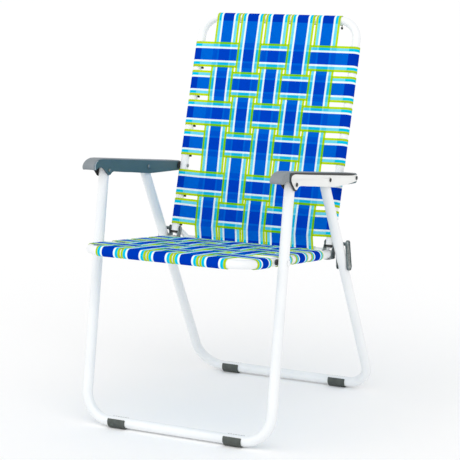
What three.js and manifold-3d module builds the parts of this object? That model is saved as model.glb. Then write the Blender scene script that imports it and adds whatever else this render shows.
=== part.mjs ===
// Folding webbed lawn chair, standing open on its four foot clips.
// Millimetres. X runs across the chair, Y from front to back and Z up.
// The origin is on the floor under the middle of the chair.
import * as THREE from 'three';
import { mergeVertices } from 'three/addons/utils/BufferGeometryUtils.js';
import Module from 'manifold-3d';

const wasm = await Module();
wasm.setup();

// Tube sizes
const LEG_TUBE_RADIUS = 11;
const FRAME_TUBE_RADIUS = 9.5;
const TUBE_WALL = 1.2;
const LEG_TUBE_X = 221;
const FRAME_TUBE_X = 194;

// Pivots and feet in the side view, as [depth y, height z]
const FRONT_FOOT = [-237.5, 13.5];
const FRONT_LEG_PIVOT = [-150.5, 540.2];
const REAR_LEG_PIVOT = [15, 528.2];
const REAR_FOOT = [287.5, 13.5];
const BACK_PIVOT = [153.9, 514.5];
const SEAT_PIVOT_BELOW_ARM = 160.5;
const LINK_PIVOT_BELOW_ARM = 233.3;
const LEG_ABOVE_PIVOT = 7;
const LEG_BEND_RADIUS = 60;
const FOOT_CLIP_X = 139;
const FOOT_CLIP_LENGTH = 42;

// The back leans along this line; distances along it count from the point beside the armrest
const BACK_LINE_POINT = [155, 514.2];
const BACK_LEAN = Math.atan(0.3);
const BACK_TOP = 349.5;
const HINGE_BELOW_ARM = 146.5;
const HINGE_BEHIND_AXIS = 1.5;
const BACK_TUBE_BELOW_HINGE = 8.1;
const BACK_BEND_RADIUS = 40;

// The seat tubes slope down to the rear from the front run
const SEAT_FRONT = [-290.5, 393.4];
const SEAT_SLOPE = Math.atan(0.1103);
const SEAT_TUBE_LENGTH = 399.2;
const SEAT_REAR_BAR = 379.8;
const SEAT_REAR_BAR_RADIUS = 8;
const SEAT_BEND_RADIUS = 37.5;

// The low bar that holds the vertical webs of the back
const LOW_BAR = [132, 350.5];
const LOW_BAR_RADIUS = 6.5;

// Webbing
const WEB_WIDTH = 59;
const WEB_THICKNESS = 1;
const WEB_CLEARANCE = 0.45;
const WEAVE_OFFSET = 0.65;
const WRAP_STEP = THREE.MathUtils.degToRad(30);
const BACK_COLUMNS = [-125, -62.5, 0, 62.5, 125];
const BACK_COLUMN_TAPER = 0.02;
const BACK_ROWS = [260.3, 192.6, 123.7, 54, -39.3, -106.2];
const BACK_WEB_BOW = 15;
const SEAT_COLUMNS = [-122.6, -61.3, 0, 61.3, 122.6];
const SEAT_ROWS = [66, 163, 240.5, 317.9];

// Fasteners and clearances
const GAP = 0.3;
const PIN_RADIUS = 3;
const HOLE_RADIUS = PIN_RADIUS + GAP;
const LOOSE_HINGE_HOLE_RADIUS = 5.7;
const RIVET_HEAD_RADIUS = 6.5;
const WASHER_RADIUS = 8.8;
const SPACER_RADIUS = 6.5;

// Layers across the chair, from the inside out
const BRACKET_THICKNESS = 2;
const BRACKET_INNER_X = [FRAME_TUBE_X - FRAME_TUBE_RADIUS - GAP - BRACKET_THICKNESS, 184.2];
const BRACKET_OUTER_X = [203.8, FRAME_TUBE_X + FRAME_TUBE_RADIUS + GAP + BRACKET_THICKNESS];
const INNER_LINK_X = [207.4, 209.4];
const OUTER_LINK_X = [232.6, 235.8];
const ARMREST_X = [207, 235];
const ARM_PLATE_X = [235.3, 236.8];
const RIVET_OUTER_X = 239.2;

const FINISHES = {
  whiteTube: { color: '#eef1f1', roughness: 0.35, metalness: 0.0 },
  whitePlate: { color: '#ebecea', roughness: 0.4, metalness: 0.0 },
  greyPlastic: { color: '#8b9aa0', roughness: 0.6, metalness: 0.0 },
  blackPlastic: { color: '#1b1d1e', roughness: 0.55, metalness: 0.0 },
  footPlastic: { color: '#464b48', roughness: 0.65, metalness: 0.0 },
  zincSteel: { color: '#9a9c9a', roughness: 0.4, metalness: 0.9 },
  blueWebbing: { color: '#0a46b8', roughness: 0.8, metalness: 0.0 },
};

const group = new THREE.Group();
group.name = 'folding_webbed_lawn_chair';

/** A path of straight runs joined by round bends; the sweep only takes steps in the bends. */
class BentPath extends THREE.Curve {
  constructor(corners, bendRadius, stepsPerBend) {
    super();
    this.points = [corners[0]];
    this.tangents = [corners[1].clone().sub(corners[0]).normalize()];
    for (let i = 1; i < corners.length - 1; i += 1) {
      this.addBend(corners[i - 1], corners[i], corners[i + 1], bendRadius, stepsPerBend);
    }
    const last = corners.length - 1;
    this.points.push(corners[last]);
    this.tangents.push(corners[last].clone().sub(corners[last - 1]).normalize());
  }

  addBend(before, corner, after, radius, steps) {
    const incoming = corner.clone().sub(before).normalize();
    const outgoing = after.clone().sub(corner).normalize();
    const angle = incoming.angleTo(outgoing);
    const axis = incoming.clone().cross(outgoing).normalize();
    const start = corner.clone().addScaledVector(incoming, -radius * Math.tan(angle / 2));
    const inward = axis.clone().cross(incoming);
    const centre = start.clone().addScaledVector(inward, radius);
    for (let i = 0; i <= steps; i += 1) {
      const turn = (angle * i) / steps;
      const spoke = start.clone().sub(centre).applyAxisAngle(axis, turn);
      this.points.push(centre.clone().add(spoke));
      this.tangents.push(incoming.clone().applyAxisAngle(axis, turn));
    }
  }

  get steps() {
    return this.points.length - 1;
  }

  getPointAt(u) {
    return this.points[Math.round(u * this.steps)].clone();
  }

  getTangentAt(u) {
    return this.tangents[Math.round(u * this.steps)].clone();
  }
}

/** Turns a geometry's faces outward when its signed volume is negative. */
function faceOutward(geometry) {
  const solid = geometry.index ? geometry.toNonIndexed() : geometry;
  const place = solid.getAttribute('position');
  const a = new THREE.Vector3();
  const b = new THREE.Vector3();
  const c = new THREE.Vector3();
  let volume = 0;
  for (let i = 0; i < place.count; i += 3) {
    a.fromBufferAttribute(place, i);
    b.fromBufferAttribute(place, i + 1);
    c.fromBufferAttribute(place, i + 2);
    volume += a.dot(b.cross(c)) / 6;
  }
  if (volume < 0) {
    for (let i = 0; i < place.count; i += 3) {
      a.fromBufferAttribute(place, i);
      b.fromBufferAttribute(place, i + 1);
      place.setXYZ(i, b.x, b.y, b.z);
      place.setXYZ(i + 1, a.x, a.y, a.z);
    }
  }
  solid.computeVertexNormals();
  return solid;
}

function toSolid(geometry) {
  const plain = faceOutward(geometry).clone();
  plain.deleteAttribute('normal');
  plain.deleteAttribute('uv');
  const merged = mergeVertices(plain, 1e-4);
  const vertProperties = new Float32Array(merged.getAttribute('position').array);
  const triVerts = new Uint32Array(merged.index.array);
  return new wasm.Manifold(new wasm.Mesh({ numProp: 3, vertProperties, triVerts }));
}

function toGeometry(solid) {
  const mesh = solid.getMesh();
  const geometry = new THREE.BufferGeometry();
  geometry.setAttribute('position', new THREE.BufferAttribute(mesh.vertProperties, 3));
  geometry.setIndex(new THREE.BufferAttribute(mesh.triVerts, 1));
  return geometry;
}

function cut(geometry, cutters) {
  let solid = toSolid(geometry);
  for (const cutter of cutters) {
    solid = solid.subtract(toSolid(cutter));
  }
  return toGeometry(solid);
}

function join(geometries) {
  let solid = toSolid(geometries[0]);
  for (const geometry of geometries.slice(1)) {
    solid = solid.add(toSolid(geometry));
  }
  return toGeometry(solid);
}

function addPiece(name, geometry, finish) {
  const material = new THREE.MeshStandardMaterial(FINISHES[finish]);
  const mesh = new THREE.Mesh(faceOutward(geometry), material);
  mesh.name = name;
  group.add(mesh);
}

function sideName(side) {
  return side > 0 ? 'right' : 'left';
}

/** The point a distance along the line from one side view point towards another. */
function along(from, to, distance) {
  const length = Math.hypot(to[0] - from[0], to[1] - from[1]);
  const share = distance / length;
  return [from[0] + (to[0] - from[0]) * share, from[1] + (to[1] - from[1]) * share];
}

/** A point on the back, by distance up its line and distance in front of the tube axis. */
function onBack(up, front = 0) {
  const y = BACK_LINE_POINT[0] + up * Math.sin(BACK_LEAN) - front * Math.cos(BACK_LEAN);
  const z = BACK_LINE_POINT[1] + up * Math.cos(BACK_LEAN) + front * Math.sin(BACK_LEAN);
  return [y, z];
}

/** A point on the seat, by distance behind its front run and height above the tube axis. */
function onSeat(behind, above = 0) {
  const y = SEAT_FRONT[0] + behind * Math.cos(SEAT_SLOPE) + above * Math.sin(SEAT_SLOPE);
  const z = SEAT_FRONT[1] - behind * Math.sin(SEAT_SLOPE) + above * Math.cos(SEAT_SLOPE);
  return [y, z];
}

const SEAT_PIVOT = along(FRONT_LEG_PIVOT, FRONT_FOOT, SEAT_PIVOT_BELOW_ARM);
const LINK_PIVOT = along(REAR_LEG_PIVOT, REAR_FOOT, LINK_PIVOT_BELOW_ARM);
const HINGE = onBack(-HINGE_BELOW_ARM, -HINGE_BEHIND_AXIS);

function point(x, sidePoint) {
  return new THREE.Vector3(x, sidePoint[0], sidePoint[1]);
}

/** Sweeps a hollow round section along a path. */
function tube(path, radius, sides = 16) {
  const ring = new THREE.Shape();
  ring.absarc(0, 0, radius, 0, 2 * Math.PI);
  const bore = new THREE.Path();
  bore.absarc(0, 0, radius - TUBE_WALL, 0, 2 * Math.PI, true);
  ring.holes.push(bore);
  return new THREE.ExtrudeGeometry(ring, {
    steps: path.steps,
    curveSegments: sides / 2,
    bevelEnabled: false,
    extrudePath: path,
  });
}

/** Extrudes a side view outline between two layers across the chair. */
function slab(shape, side, layer, bevel = 0) {
  const depth = layer[1] - layer[0] - 2 * bevel;
  const geometry = new THREE.ExtrudeGeometry(shape, {
    depth,
    steps: 1,
    curveSegments: 8,
    bevelEnabled: bevel > 0,
    bevelThickness: bevel,
    bevelSize: bevel,
    bevelOffset: -bevel,
    bevelSegments: 1,
  });
  const turn = new THREE.Matrix4().makeBasis(
    new THREE.Vector3(0, 1, 0),
    new THREE.Vector3(0, 0, 1),
    new THREE.Vector3(1, 0, 0),
  );
  geometry.applyMatrix4(turn);
  const start = side > 0 ? layer[0] : -layer[1];
  geometry.translate(start + bevel, 0, 0);
  return geometry;
}

/** Turns a profile of [radius, distance across the chair] about a pivot. */
function turned(profile, side, pivot, segments = 10) {
  const points = profile.map(([radius, x]) => new THREE.Vector2(radius, x));
  const geometry = new THREE.LatheGeometry(points, segments);
  geometry.rotateZ(side > 0 ? -Math.PI / 2 : Math.PI / 2);
  geometry.translate(0, pivot[0], pivot[1]);
  return geometry;
}

function hole(radius, side, pivot, layer) {
  const profile = [[0, layer[0]], [radius, layer[0]], [radius, layer[1]], [0, layer[1]]];
  return turned(profile, side, pivot);
}

/** A rivet with a domed head at each end. */
function rivet(side, pivot, layer, headRadius, headHeight, innerHeadHeight = headHeight) {
  const [inner, outer] = layer;
  const profile = [
    [0, inner],
    [headRadius * 0.6, inner + innerHeadHeight * 0.25],
    [headRadius, inner + innerHeadHeight],
    [PIN_RADIUS, inner + innerHeadHeight],
    [PIN_RADIUS, outer - headHeight],
    [headRadius, outer - headHeight],
    [headRadius * 0.6, outer - headHeight * 0.25],
    [0, outer],
  ];
  return turned(profile, side, pivot);
}

function ringPiece(side, pivot, outerRadius, layer) {
  const profile = [
    [HOLE_RADIUS, layer[0]],
    [outerRadius, layer[0]],
    [outerRadius, layer[1]],
    [HOLE_RADIUS, layer[1]],
    [HOLE_RADIUS, layer[0]],
  ];
  return turned(profile, side, pivot, 14);
}

function bothSides(build) {
  for (const side of [1, -1]) {
    build(side, sideName(side));
  }
}

/** A leg frame: one tube bent to a U whose cross run lies on the floor. */
function legFrame(name, pivot, foot, otherPivot) {
  const top = along(pivot, foot, -LEG_ABOVE_PIVOT);
  const corners = [
    point(LEG_TUBE_X, top),
    point(LEG_TUBE_X, foot),
    point(-LEG_TUBE_X, foot),
    point(-LEG_TUBE_X, top),
  ];
  const layer = [LEG_TUBE_X - 2 * LEG_TUBE_RADIUS, LEG_TUBE_X + 2 * LEG_TUBE_RADIUS];
  const holes = [];
  bothSides((side) => {
    holes.push(hole(HOLE_RADIUS, side, pivot, layer));
    holes.push(hole(HOLE_RADIUS, side, otherPivot, layer));
  });
  const sweep = tube(new BentPath(corners, LEG_BEND_RADIUS, 5), LEG_TUBE_RADIUS);
  addPiece(name, cut(sweep, holes), 'whiteTube');
}

/** The back frame: one tube bent to a U with its cross run at the top. */
function backFrame() {
  const low = onBack(-HINGE_BELOW_ARM - BACK_TUBE_BELOW_HINGE);
  const top = onBack(BACK_TOP);
  const corners = [
    point(FRAME_TUBE_X, low),
    point(FRAME_TUBE_X, top),
    point(-FRAME_TUBE_X, top),
    point(-FRAME_TUBE_X, low),
  ];
  const layer = [FRAME_TUBE_X - 2 * FRAME_TUBE_RADIUS, FRAME_TUBE_X + 2 * FRAME_TUBE_RADIUS];
  const holes = [];
  bothSides((side) => {
    holes.push(hole(HOLE_RADIUS, side, BACK_PIVOT, layer));
    holes.push(hole(LOOSE_HINGE_HOLE_RADIUS, side, HINGE, layer));
  });
  const sweep = tube(new BentPath(corners, BACK_BEND_RADIUS, 5), FRAME_TUBE_RADIUS);
  addPiece('back_frame', cut(sweep, holes), 'whiteTube');
}

/** The seat frame: one tube bent to a U with its cross run at the front. */
function seatFrame() {
  const rear = onSeat(SEAT_TUBE_LENGTH);
  const front = onSeat(0);
  const corners = [
    point(FRAME_TUBE_X, rear),
    point(FRAME_TUBE_X, front),
    point(-FRAME_TUBE_X, front),
    point(-FRAME_TUBE_X, rear),
  ];
  const layer = [FRAME_TUBE_X - 2 * FRAME_TUBE_RADIUS, FRAME_TUBE_X + 2 * FRAME_TUBE_RADIUS];
  const holes = [];
  bothSides((side) => {
    holes.push(hole(HOLE_RADIUS, side, SEAT_PIVOT, layer));
  });
  const sweep = tube(new BentPath(corners, SEAT_BEND_RADIUS, 5), FRAME_TUBE_RADIUS);
  addPiece('seat_frame', cut(sweep, holes), 'whiteTube');
}

/** A solid round bar that clears a frame tube by the working gap, used to cope bar ends. */
function tubeCutter(x, low, high) {
  const path = new BentPath([point(x, low), point(x, high)], 1, 1);
  const disc = new THREE.Shape();
  disc.absarc(0, 0, FRAME_TUBE_RADIUS + GAP, 0, 2 * Math.PI);
  return new THREE.ExtrudeGeometry(disc, {
    steps: path.steps,
    curveSegments: 12,
    bevelEnabled: false,
    extrudePath: path,
  });
}

/** The seat's rear bar: straight, with its ends coped to the side tubes. */
function seatRearCrossbar() {
  const place = onSeat(SEAT_REAR_BAR);
  const path = new BentPath([point(FRAME_TUBE_X, place), point(-FRAME_TUBE_X, place)], 1, 1);
  const cutters = [1, -1].map((side) => {
    const low = onSeat(SEAT_REAR_BAR - 30);
    const high = onSeat(SEAT_REAR_BAR + 30);
    return tubeCutter(side * FRAME_TUBE_X, low, high);
  });
  const bar = tube(path, SEAT_REAR_BAR_RADIUS);
  addPiece('seat_rear_crossbar', cut(bar, cutters), 'whiteTube');
}

/** The back's low bar: it passes behind the hinges, its ends lie against the back tubes. */
function backLowerCrossbar() {
  const behindTube = FRAME_TUBE_RADIUS + GAP + LOW_BAR_RADIUS;
  const endBelowHinge = 4.5;
  const endPastTubeAxis = 7;
  const outerBendX = 186;
  const innerBendX = 173;
  const bendRadius = 8;
  const end = onBack(-HINGE_BELOW_ARM - endBelowHinge, -behindTube);
  const half = [
    point(FRAME_TUBE_X + endPastTubeAxis, end),
    point(outerBendX, end),
    point(innerBendX, LOW_BAR),
  ];
  const mirrored = half.map((place) => new THREE.Vector3(-place.x, place.y, place.z)).reverse();
  const path = new BentPath([...half, ...mirrored], bendRadius, 3);
  addPiece('back_lower_crossbar', tube(path, LOW_BAR_RADIUS, 12), 'whiteTube');
}

/** A C shaped plastic clip round the floor run of a leg frame, flat underneath and open on top. */
function footClip(name, x, foot) {
  const outerRadius = 13.85;
  const innerRadius = LEG_TUBE_RADIUS + GAP;
  const halfOpening = THREE.MathUtils.degToRad(52);
  const flatHalf = Math.acos(foot[1] / outerRadius);
  const shape = new THREE.Shape();
  const start = Math.PI / 2 + halfOpening;
  const end = Math.PI / 2 - halfOpening;
  const down = 1.5 * Math.PI;
  shape.absarc(foot[0], foot[1], outerRadius, start, down - flatHalf, false);
  shape.absarc(foot[0], foot[1], outerRadius, down + flatHalf, 2 * Math.PI + end, false);
  shape.absarc(foot[0], foot[1], innerRadius, end, start, true);
  const geometry = new THREE.ExtrudeGeometry(shape, {
    depth: FOOT_CLIP_LENGTH,
    steps: 1,
    curveSegments: 10,
    bevelEnabled: false,
  });
  geometry.applyMatrix4(new THREE.Matrix4().makeBasis(
    new THREE.Vector3(0, 1, 0),
    new THREE.Vector3(0, 0, 1),
    new THREE.Vector3(1, 0, 0),
  ));
  geometry.translate(x - FOOT_CLIP_LENGTH / 2, 0, 0);
  addPiece(name, geometry, 'footPlastic');
}

function shapeFrom(points) {
  return new THREE.Shape(points.map(([y, z]) => new THREE.Vector2(y, z)));
}

/** The point at an angle on a circle about a side view pivot. */
function round(pivot, radius, degrees) {
  const angle = THREE.MathUtils.degToRad(degrees);
  return [pivot[0] + radius * Math.cos(angle), pivot[1] + radius * Math.sin(angle)];
}

function arc(pivot, radius, fromDegrees, toDegrees, steps) {
  const points = [];
  for (let i = 0; i <= steps; i += 1) {
    points.push(round(pivot, radius, fromDegrees + ((toDegrees - fromDegrees) * i) / steps));
  }
  return points;
}

/** The height of the armrest's straight top over a depth. */
function armTop(y) {
  return 562.9 - 0.1356 * (y + 123.2);
}

/** The armrest: a downward channel with a blunt nose, over the tops of both leg tubes. */
function armrest(side, name) {
  const skin = 2.2;
  const wall = 2.6;
  const tailRadius = 11.4;
  const tailDrop = 0.5;
  const noseTop = [
    [-212.5, 547.6], [-214.7, 550.5], [-214.7, 557.5], [-212.8, 561], [-209.9, 563.6],
    [-205, 566.4], [-199.8, 568.4], [-192, 569.9], [-184.7, 570.5], [-172, armTop(-172)],
  ];
  const lowEdge = [
    [34.5, 511], [12.5, 513.5], [-18.5, 518.2], [-56.8, 524.2], [-87, 528.4],
    [-130, 535.2], [-135.5, 536.4],
  ];
  const lobe = [[-140.5, 533.8], [-146.5, 530.2], [-153.5, 529.8], [-162.5, 537]];
  const noseLow = [[-170, 543.5], [-179, 549.8], [-192, 551.5], [-203, 547.8]];
  const tail = [BACK_PIVOT[0], BACK_PIVOT[1] - tailDrop];
  const outline = shapeFrom([
    ...noseTop,
    ...arc(tail, tailRadius, 82, -82, 6),
    ...lowEdge,
    ...lobe,
    ...noseLow,
  ]);
  const ceiling = (y) => armTop(y) - skin;
  const cavityFloor = 490;
  const cavityFront = -211.4;
  const cavityRear = 151;
  const cavity = shapeFrom([
    [cavityFront, cavityFloor], [cavityFront, 558.5], [-208, 562.2], [-204, 564.4],
    [-199, 566.2], [-192, 567.5], [-184.7, 568], [-172, ceiling(-172)],
    [cavityRear, ceiling(cavityRear)], [cavityRear, cavityFloor],
  ]);
  const cutters = [slab(cavity, side, [ARMREST_X[0] + wall, ARMREST_X[1] - wall])];
  for (const pivot of [FRONT_LEG_PIVOT, REAR_LEG_PIVOT, BACK_PIVOT]) {
    cutters.push(hole(HOLE_RADIUS, side, pivot, [ARMREST_X[0] - 2, ARMREST_X[1] + 2]));
  }
  addPiece(`${name}_armrest`, cut(slab(outline, side, ARMREST_X, 1), cutters), 'greyPlastic');
}

/** The white steel plate on the outside of the armrest, which all three rivets pass through. */
function armPlate(side, name) {
  const topEdge = [[-160, 563], [-124, 557.5], [-5.7, 541], [130, 521.5]];
  const lowEdge = [
    [95, 506.6], [34.5, 511.3], [12.5, 513.8], [-18.5, 518.3], [-56.8, 524.4],
    [-87, 528.3], [-133, 535.6], [-142.5, 534],
  ];
  const noseEdge = [[-172, 543.5], [-179, 550.5], [-179.5, 556], [-173, 561.5]];
  const outline = shapeFrom([
    ...topEdge,
    ...arc(BACK_PIVOT, 7, 75, -85, 5),
    ...lowEdge,
    ...arc(FRONT_LEG_PIVOT, 10, -60, -150, 4),
    ...noseEdge,
  ]);
  const holes = [];
  for (const pivot of [FRONT_LEG_PIVOT, REAR_LEG_PIVOT, BACK_PIVOT]) {
    holes.push(hole(HOLE_RADIUS, side, pivot, [ARM_PLATE_X[0] - 2, ARM_PLATE_X[1] + 2]));
  }
  addPiece(`${name}_arm_plate`, cut(slab(outline, side, ARM_PLATE_X, 0.4), holes), 'whitePlate');
}

function armRivets(side, name) {
  const innerFace = ARMREST_X[0] - GAP;
  const headHeight = 1.9;
  const legLayer = [innerFace - headHeight, RIVET_OUTER_X];
  const backLayer = [FRAME_TUBE_X - FRAME_TUBE_RADIUS - GAP - headHeight, RIVET_OUTER_X];
  const front = rivet(side, FRONT_LEG_PIVOT, legLayer, RIVET_HEAD_RADIUS, headHeight);
  const rear = rivet(side, REAR_LEG_PIVOT, legLayer, RIVET_HEAD_RADIUS, headHeight);
  const back = rivet(side, BACK_PIVOT, backLayer, RIVET_HEAD_RADIUS, headHeight);
  addPiece(`${name}_front_leg_rivet`, front, 'zincSteel');
  addPiece(`${name}_rear_leg_rivet`, rear, 'zincSteel');
  addPiece(`${name}_back_rivet`, back, 'zincSteel');
  const washerLayer = [FRAME_TUBE_X + FRAME_TUBE_RADIUS + GAP, innerFace];
  const washer = ringPiece(side, BACK_PIVOT, WASHER_RADIUS, washerLayer);
  addPiece(`${name}_back_washer`, washer, 'blackPlastic');
}

function seatPivot(side, name) {
  const headHeight = 2.2;
  const inner = FRAME_TUBE_X - FRAME_TUBE_RADIUS - GAP - headHeight;
  const outer = LEG_TUBE_X + LEG_TUBE_RADIUS + GAP + headHeight;
  const bolt = rivet(side, SEAT_PIVOT, [inner, outer], 6, headHeight);
  addPiece(`${name}_seat_pivot_bolt`, bolt, 'zincSteel');
  const spacerLayer = [
    FRAME_TUBE_X + FRAME_TUBE_RADIUS + GAP,
    LEG_TUBE_X - LEG_TUBE_RADIUS - GAP,
  ];
  const spacer = ringPiece(side, SEAT_PIVOT, SPACER_RADIUS, spacerLayer);
  addPiece(`${name}_seat_pivot_spacer`, spacer, 'blackPlastic');
}

/** The U bracket that grips the end of a seat tube and carries the hinge pin above it. */
function hingeBracket(side, name) {
  const earRadius = 7;
  const start = SEAT_TUBE_LENGTH - 11;
  const end = SEAT_TUBE_LENGTH + 8;
  const shoulder = 8;
  const bottom = -FRAME_TUBE_RADIUS - GAP;
  const underside = bottom - BRACKET_THICKNESS;
  const plate = shapeFrom([
    onSeat(start, underside),
    onSeat(end, underside),
    onSeat(end, shoulder),
    ...arc(HINGE, earRadius, 0, 180, 6),
    onSeat(start, shoulder),
  ]);
  const strip = shapeFrom([
    onSeat(start, underside), onSeat(end, underside), onSeat(end, bottom), onSeat(start, bottom),
  ]);
  const whole = join([
    slab(plate, side, BRACKET_INNER_X),
    slab(plate, side, BRACKET_OUTER_X),
    slab(strip, side, [BRACKET_INNER_X[0], BRACKET_OUTER_X[1]]),
  ]);
  const bore = hole(HOLE_RADIUS, side, HINGE, [BRACKET_INNER_X[0] - 2, BRACKET_OUTER_X[1] + 2]);
  addPiece(`${name}_hinge_bracket`, cut(whole, [bore]), 'zincSteel');
  const pinLayer = [BRACKET_INNER_X[0] - GAP - 1.4, BRACKET_OUTER_X[1] + GAP + 0.9];
  const headHeight = 0.9;
  addPiece(`${name}_hinge_pin`, rivet(side, HINGE, pinLayer, 5.5, headHeight), 'zincSteel');
}

/** A link outline with round ends and a slightly narrower waist. */
function linkOutline(endRadius, waist) {
  const length = Math.hypot(HINGE[0] - LINK_PIVOT[0], HINGE[1] - LINK_PIVOT[1]);
  const tilt = Math.atan2(HINGE[1] - LINK_PIVOT[1], HINGE[0] - LINK_PIVOT[0]);
  const degrees = THREE.MathUtils.radToDeg(tilt);
  const middle = along(LINK_PIVOT, HINGE, length / 2);
  return shapeFrom([
    ...arc(HINGE, endRadius, degrees - 80, degrees + 80, 7),
    round(middle, waist, degrees + 90),
    ...arc(LINK_PIVOT, endRadius, degrees + 100, degrees + 260, 7),
    round(middle, waist, degrees - 90),
  ]);
}

/** The pair of links that hold the hinge to the rear leg, with the pin at their top. */
function hingeLinks(side, name) {
  const both = [INNER_LINK_X[0] - 2, OUTER_LINK_X[1] + 2];
  const bores = [hole(HOLE_RADIUS, side, HINGE, both), hole(HOLE_RADIUS, side, LINK_PIVOT, both)];
  const inner = cut(slab(linkOutline(8, 6.5), side, INNER_LINK_X, 0.4), bores);
  const outer = cut(slab(linkOutline(8.5, 7), side, OUTER_LINK_X, 0.8), bores);
  addPiece(`${name}_inner_link`, inner, 'zincSteel');
  addPiece(`${name}_outer_link`, outer, 'zincSteel');

  const headRadius = 5.5;
  const headHeight = 1.8;
  const spacerRadius = 3.9;
  const headStart = OUTER_LINK_X[1] + GAP;
  const pin = turned([
    [0, INNER_LINK_X[0]],
    [PIN_RADIUS, INNER_LINK_X[0]],
    [PIN_RADIUS, INNER_LINK_X[1] + GAP],
    [spacerRadius, INNER_LINK_X[1] + GAP],
    [spacerRadius, OUTER_LINK_X[0] - GAP],
    [PIN_RADIUS, OUTER_LINK_X[0] - GAP],
    [PIN_RADIUS, headStart],
    [headRadius, headStart],
    [headRadius * 0.6, headStart + headHeight * 0.75],
    [0, headStart + headHeight],
  ], side, HINGE);
  addPiece(`${name}_link_pin`, pin, 'zincSteel');
  const flatHeadHeight = 1;
  const rivetLayer = [INNER_LINK_X[0] - GAP - flatHeadHeight, headStart + headHeight];
  const low = rivet(side, LINK_PIVOT, rivetLayer, headRadius, headHeight, flatHeadHeight);
  addPiece(`${name}_link_rivet`, low, 'zincSteel');
}

/** The plastic cap that closes the low end of a back tube. */
function backTubeCap(side, name) {
  const plugRadius = FRAME_TUBE_RADIUS - TUBE_WALL - GAP;
  const capDepth = 1.2;
  const plugHeight = 2.2;
  const profile = [
    [0, capDepth],
    [FRAME_TUBE_RADIUS, capDepth],
    [FRAME_TUBE_RADIUS, GAP],
    [plugRadius, GAP],
    [plugRadius, -plugHeight],
    [0, -plugHeight],
  ];
  const points = profile.map(([radius, down]) => new THREE.Vector2(radius, -down));
  const geometry = new THREE.LatheGeometry(points, 16);
  geometry.rotateX(Math.PI / 2 - BACK_LEAN);
  const end = onBack(-HINGE_BELOW_ARM - BACK_TUBE_BELOW_HINGE);
  geometry.translate(side * FRAME_TUBE_X, end[0], end[1]);
  addPiece(`${name}_back_tube_cap`, geometry, 'blackPlastic');
}

/** Points of a web's centre line going round a tube, in the plane [along the web, off the frame]. */
function wrap(centre, tubeRadius, fromDegrees, toDegrees) {
  const radius = tubeRadius + WEB_CLEARANCE + WEB_THICKNESS / 2;
  const turn = THREE.MathUtils.degToRad(toDegrees - fromDegrees);
  const steps = Math.ceil(Math.abs(turn) / WRAP_STEP);
  return arc(centre, radius, fromDegrees, toDegrees, steps);
}

/** The angle at which a straight web from a point meets its wrap round a tube. */
function meetingAngle(from, centre, tubeRadius) {
  const radius = tubeRadius + WEB_CLEARANCE + WEB_THICKNESS / 2;
  const reach = Math.hypot(from[0] - centre[0], from[1] - centre[1]);
  const towards = Math.atan2(from[1] - centre[1], from[0] - centre[0]);
  return (THREE.MathUtils.radToDeg(towards - Math.acos(radius / reach)) + 360) % 360;
}

/** Thickens a centre line to a closed band outline. */
function band(line) {
  const left = [];
  const right = [];
  for (let i = 0; i < line.length; i += 1) {
    const before = line[Math.max(i - 1, 0)];
    const after = line[Math.min(i + 1, line.length - 1)];
    const here = new THREE.Vector2(line[i][0], line[i][1]);
    const incoming = here.clone().sub(new THREE.Vector2(before[0], before[1]));
    const outgoing = new THREE.Vector2(after[0], after[1]).sub(here);
    if (i === 0) {
      incoming.copy(outgoing);
    }
    if (i === line.length - 1) {
      outgoing.copy(incoming);
    }
    const direction = incoming.normalize().add(outgoing.normalize()).normalize();
    const reach = WEB_THICKNESS / 2 / Math.max(direction.dot(outgoing), 0.5);
    left.push([here.x - direction.y * reach, here.y + direction.x * reach]);
    right.push([here.x + direction.y * reach, here.y - direction.x * reach]);
  }
  return shapeFrom([...left, ...right.reverse()]);
}

/** The straight stretches of a web where it passes over or under the webs that cross it. */
function weave(crossings, levelAt, firstOver, halfWidth) {
  const points = [];
  crossings.forEach((place, i) => {
    const over = (i % 2 === 0) === firstOver;
    const level = levelAt(place) + (over ? WEAVE_OFFSET : -WEAVE_OFFSET);
    points.push([place - halfWidth, level], [place + halfWidth, level]);
  });
  return points;
}

/** Extrudes a band across the web's width, about its middle. */
function webBand(line) {
  const geometry = new THREE.ExtrudeGeometry(band(line), {
    depth: WEB_WIDTH,
    steps: 1,
    bevelEnabled: false,
  });
  geometry.translate(0, 0, -WEB_WIDTH / 2);
  return geometry;
}

/** Sets a web in the frame given by three directions. */
function placeWeb(geometry, origin, alongWeb, offFrame, acrossWeb) {
  const place = new THREE.Matrix4().makeBasis(alongWeb, offFrame, acrossWeb);
  place.setPosition(origin);
  geometry.applyMatrix4(place);
}

const ACROSS = new THREE.Vector3(1, 0, 0);
const BACK_UP = new THREE.Vector3(0, Math.sin(BACK_LEAN), Math.cos(BACK_LEAN));
const BACK_FRONT = new THREE.Vector3(0, -Math.cos(BACK_LEAN), Math.sin(BACK_LEAN));
const SEAT_REARWARD = new THREE.Vector3(0, Math.cos(SEAT_SLOPE), -Math.sin(SEAT_SLOPE));
const SEAT_UP = new THREE.Vector3(0, Math.sin(SEAT_SLOPE), Math.cos(SEAT_SLOPE));
const WEB_LEVEL = FRAME_TUBE_RADIUS + WEB_CLEARANCE + WEB_THICKNESS / 2;
const COLUMN_HALF = 29.8;
const ROW_HALF = 30.5;

// The low bar seen from the back's line: how far down it is and how far behind the tube axes
const LOW_BAR_FALL = BACK_LINE_POINT[1] - LOW_BAR[1];
const LOW_BAR_ADVANCE = BACK_LINE_POINT[0] - LOW_BAR[0];
const LOW_BAR_DOWN = LOW_BAR_FALL * Math.cos(BACK_LEAN) + LOW_BAR_ADVANCE * Math.sin(BACK_LEAN);
const LOW_BAR_BEHIND = LOW_BAR_FALL * Math.sin(BACK_LEAN) - LOW_BAR_ADVANCE * Math.cos(BACK_LEAN);
const ROWS_REACH = BACK_TOP - BACK_ROWS[5];

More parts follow.
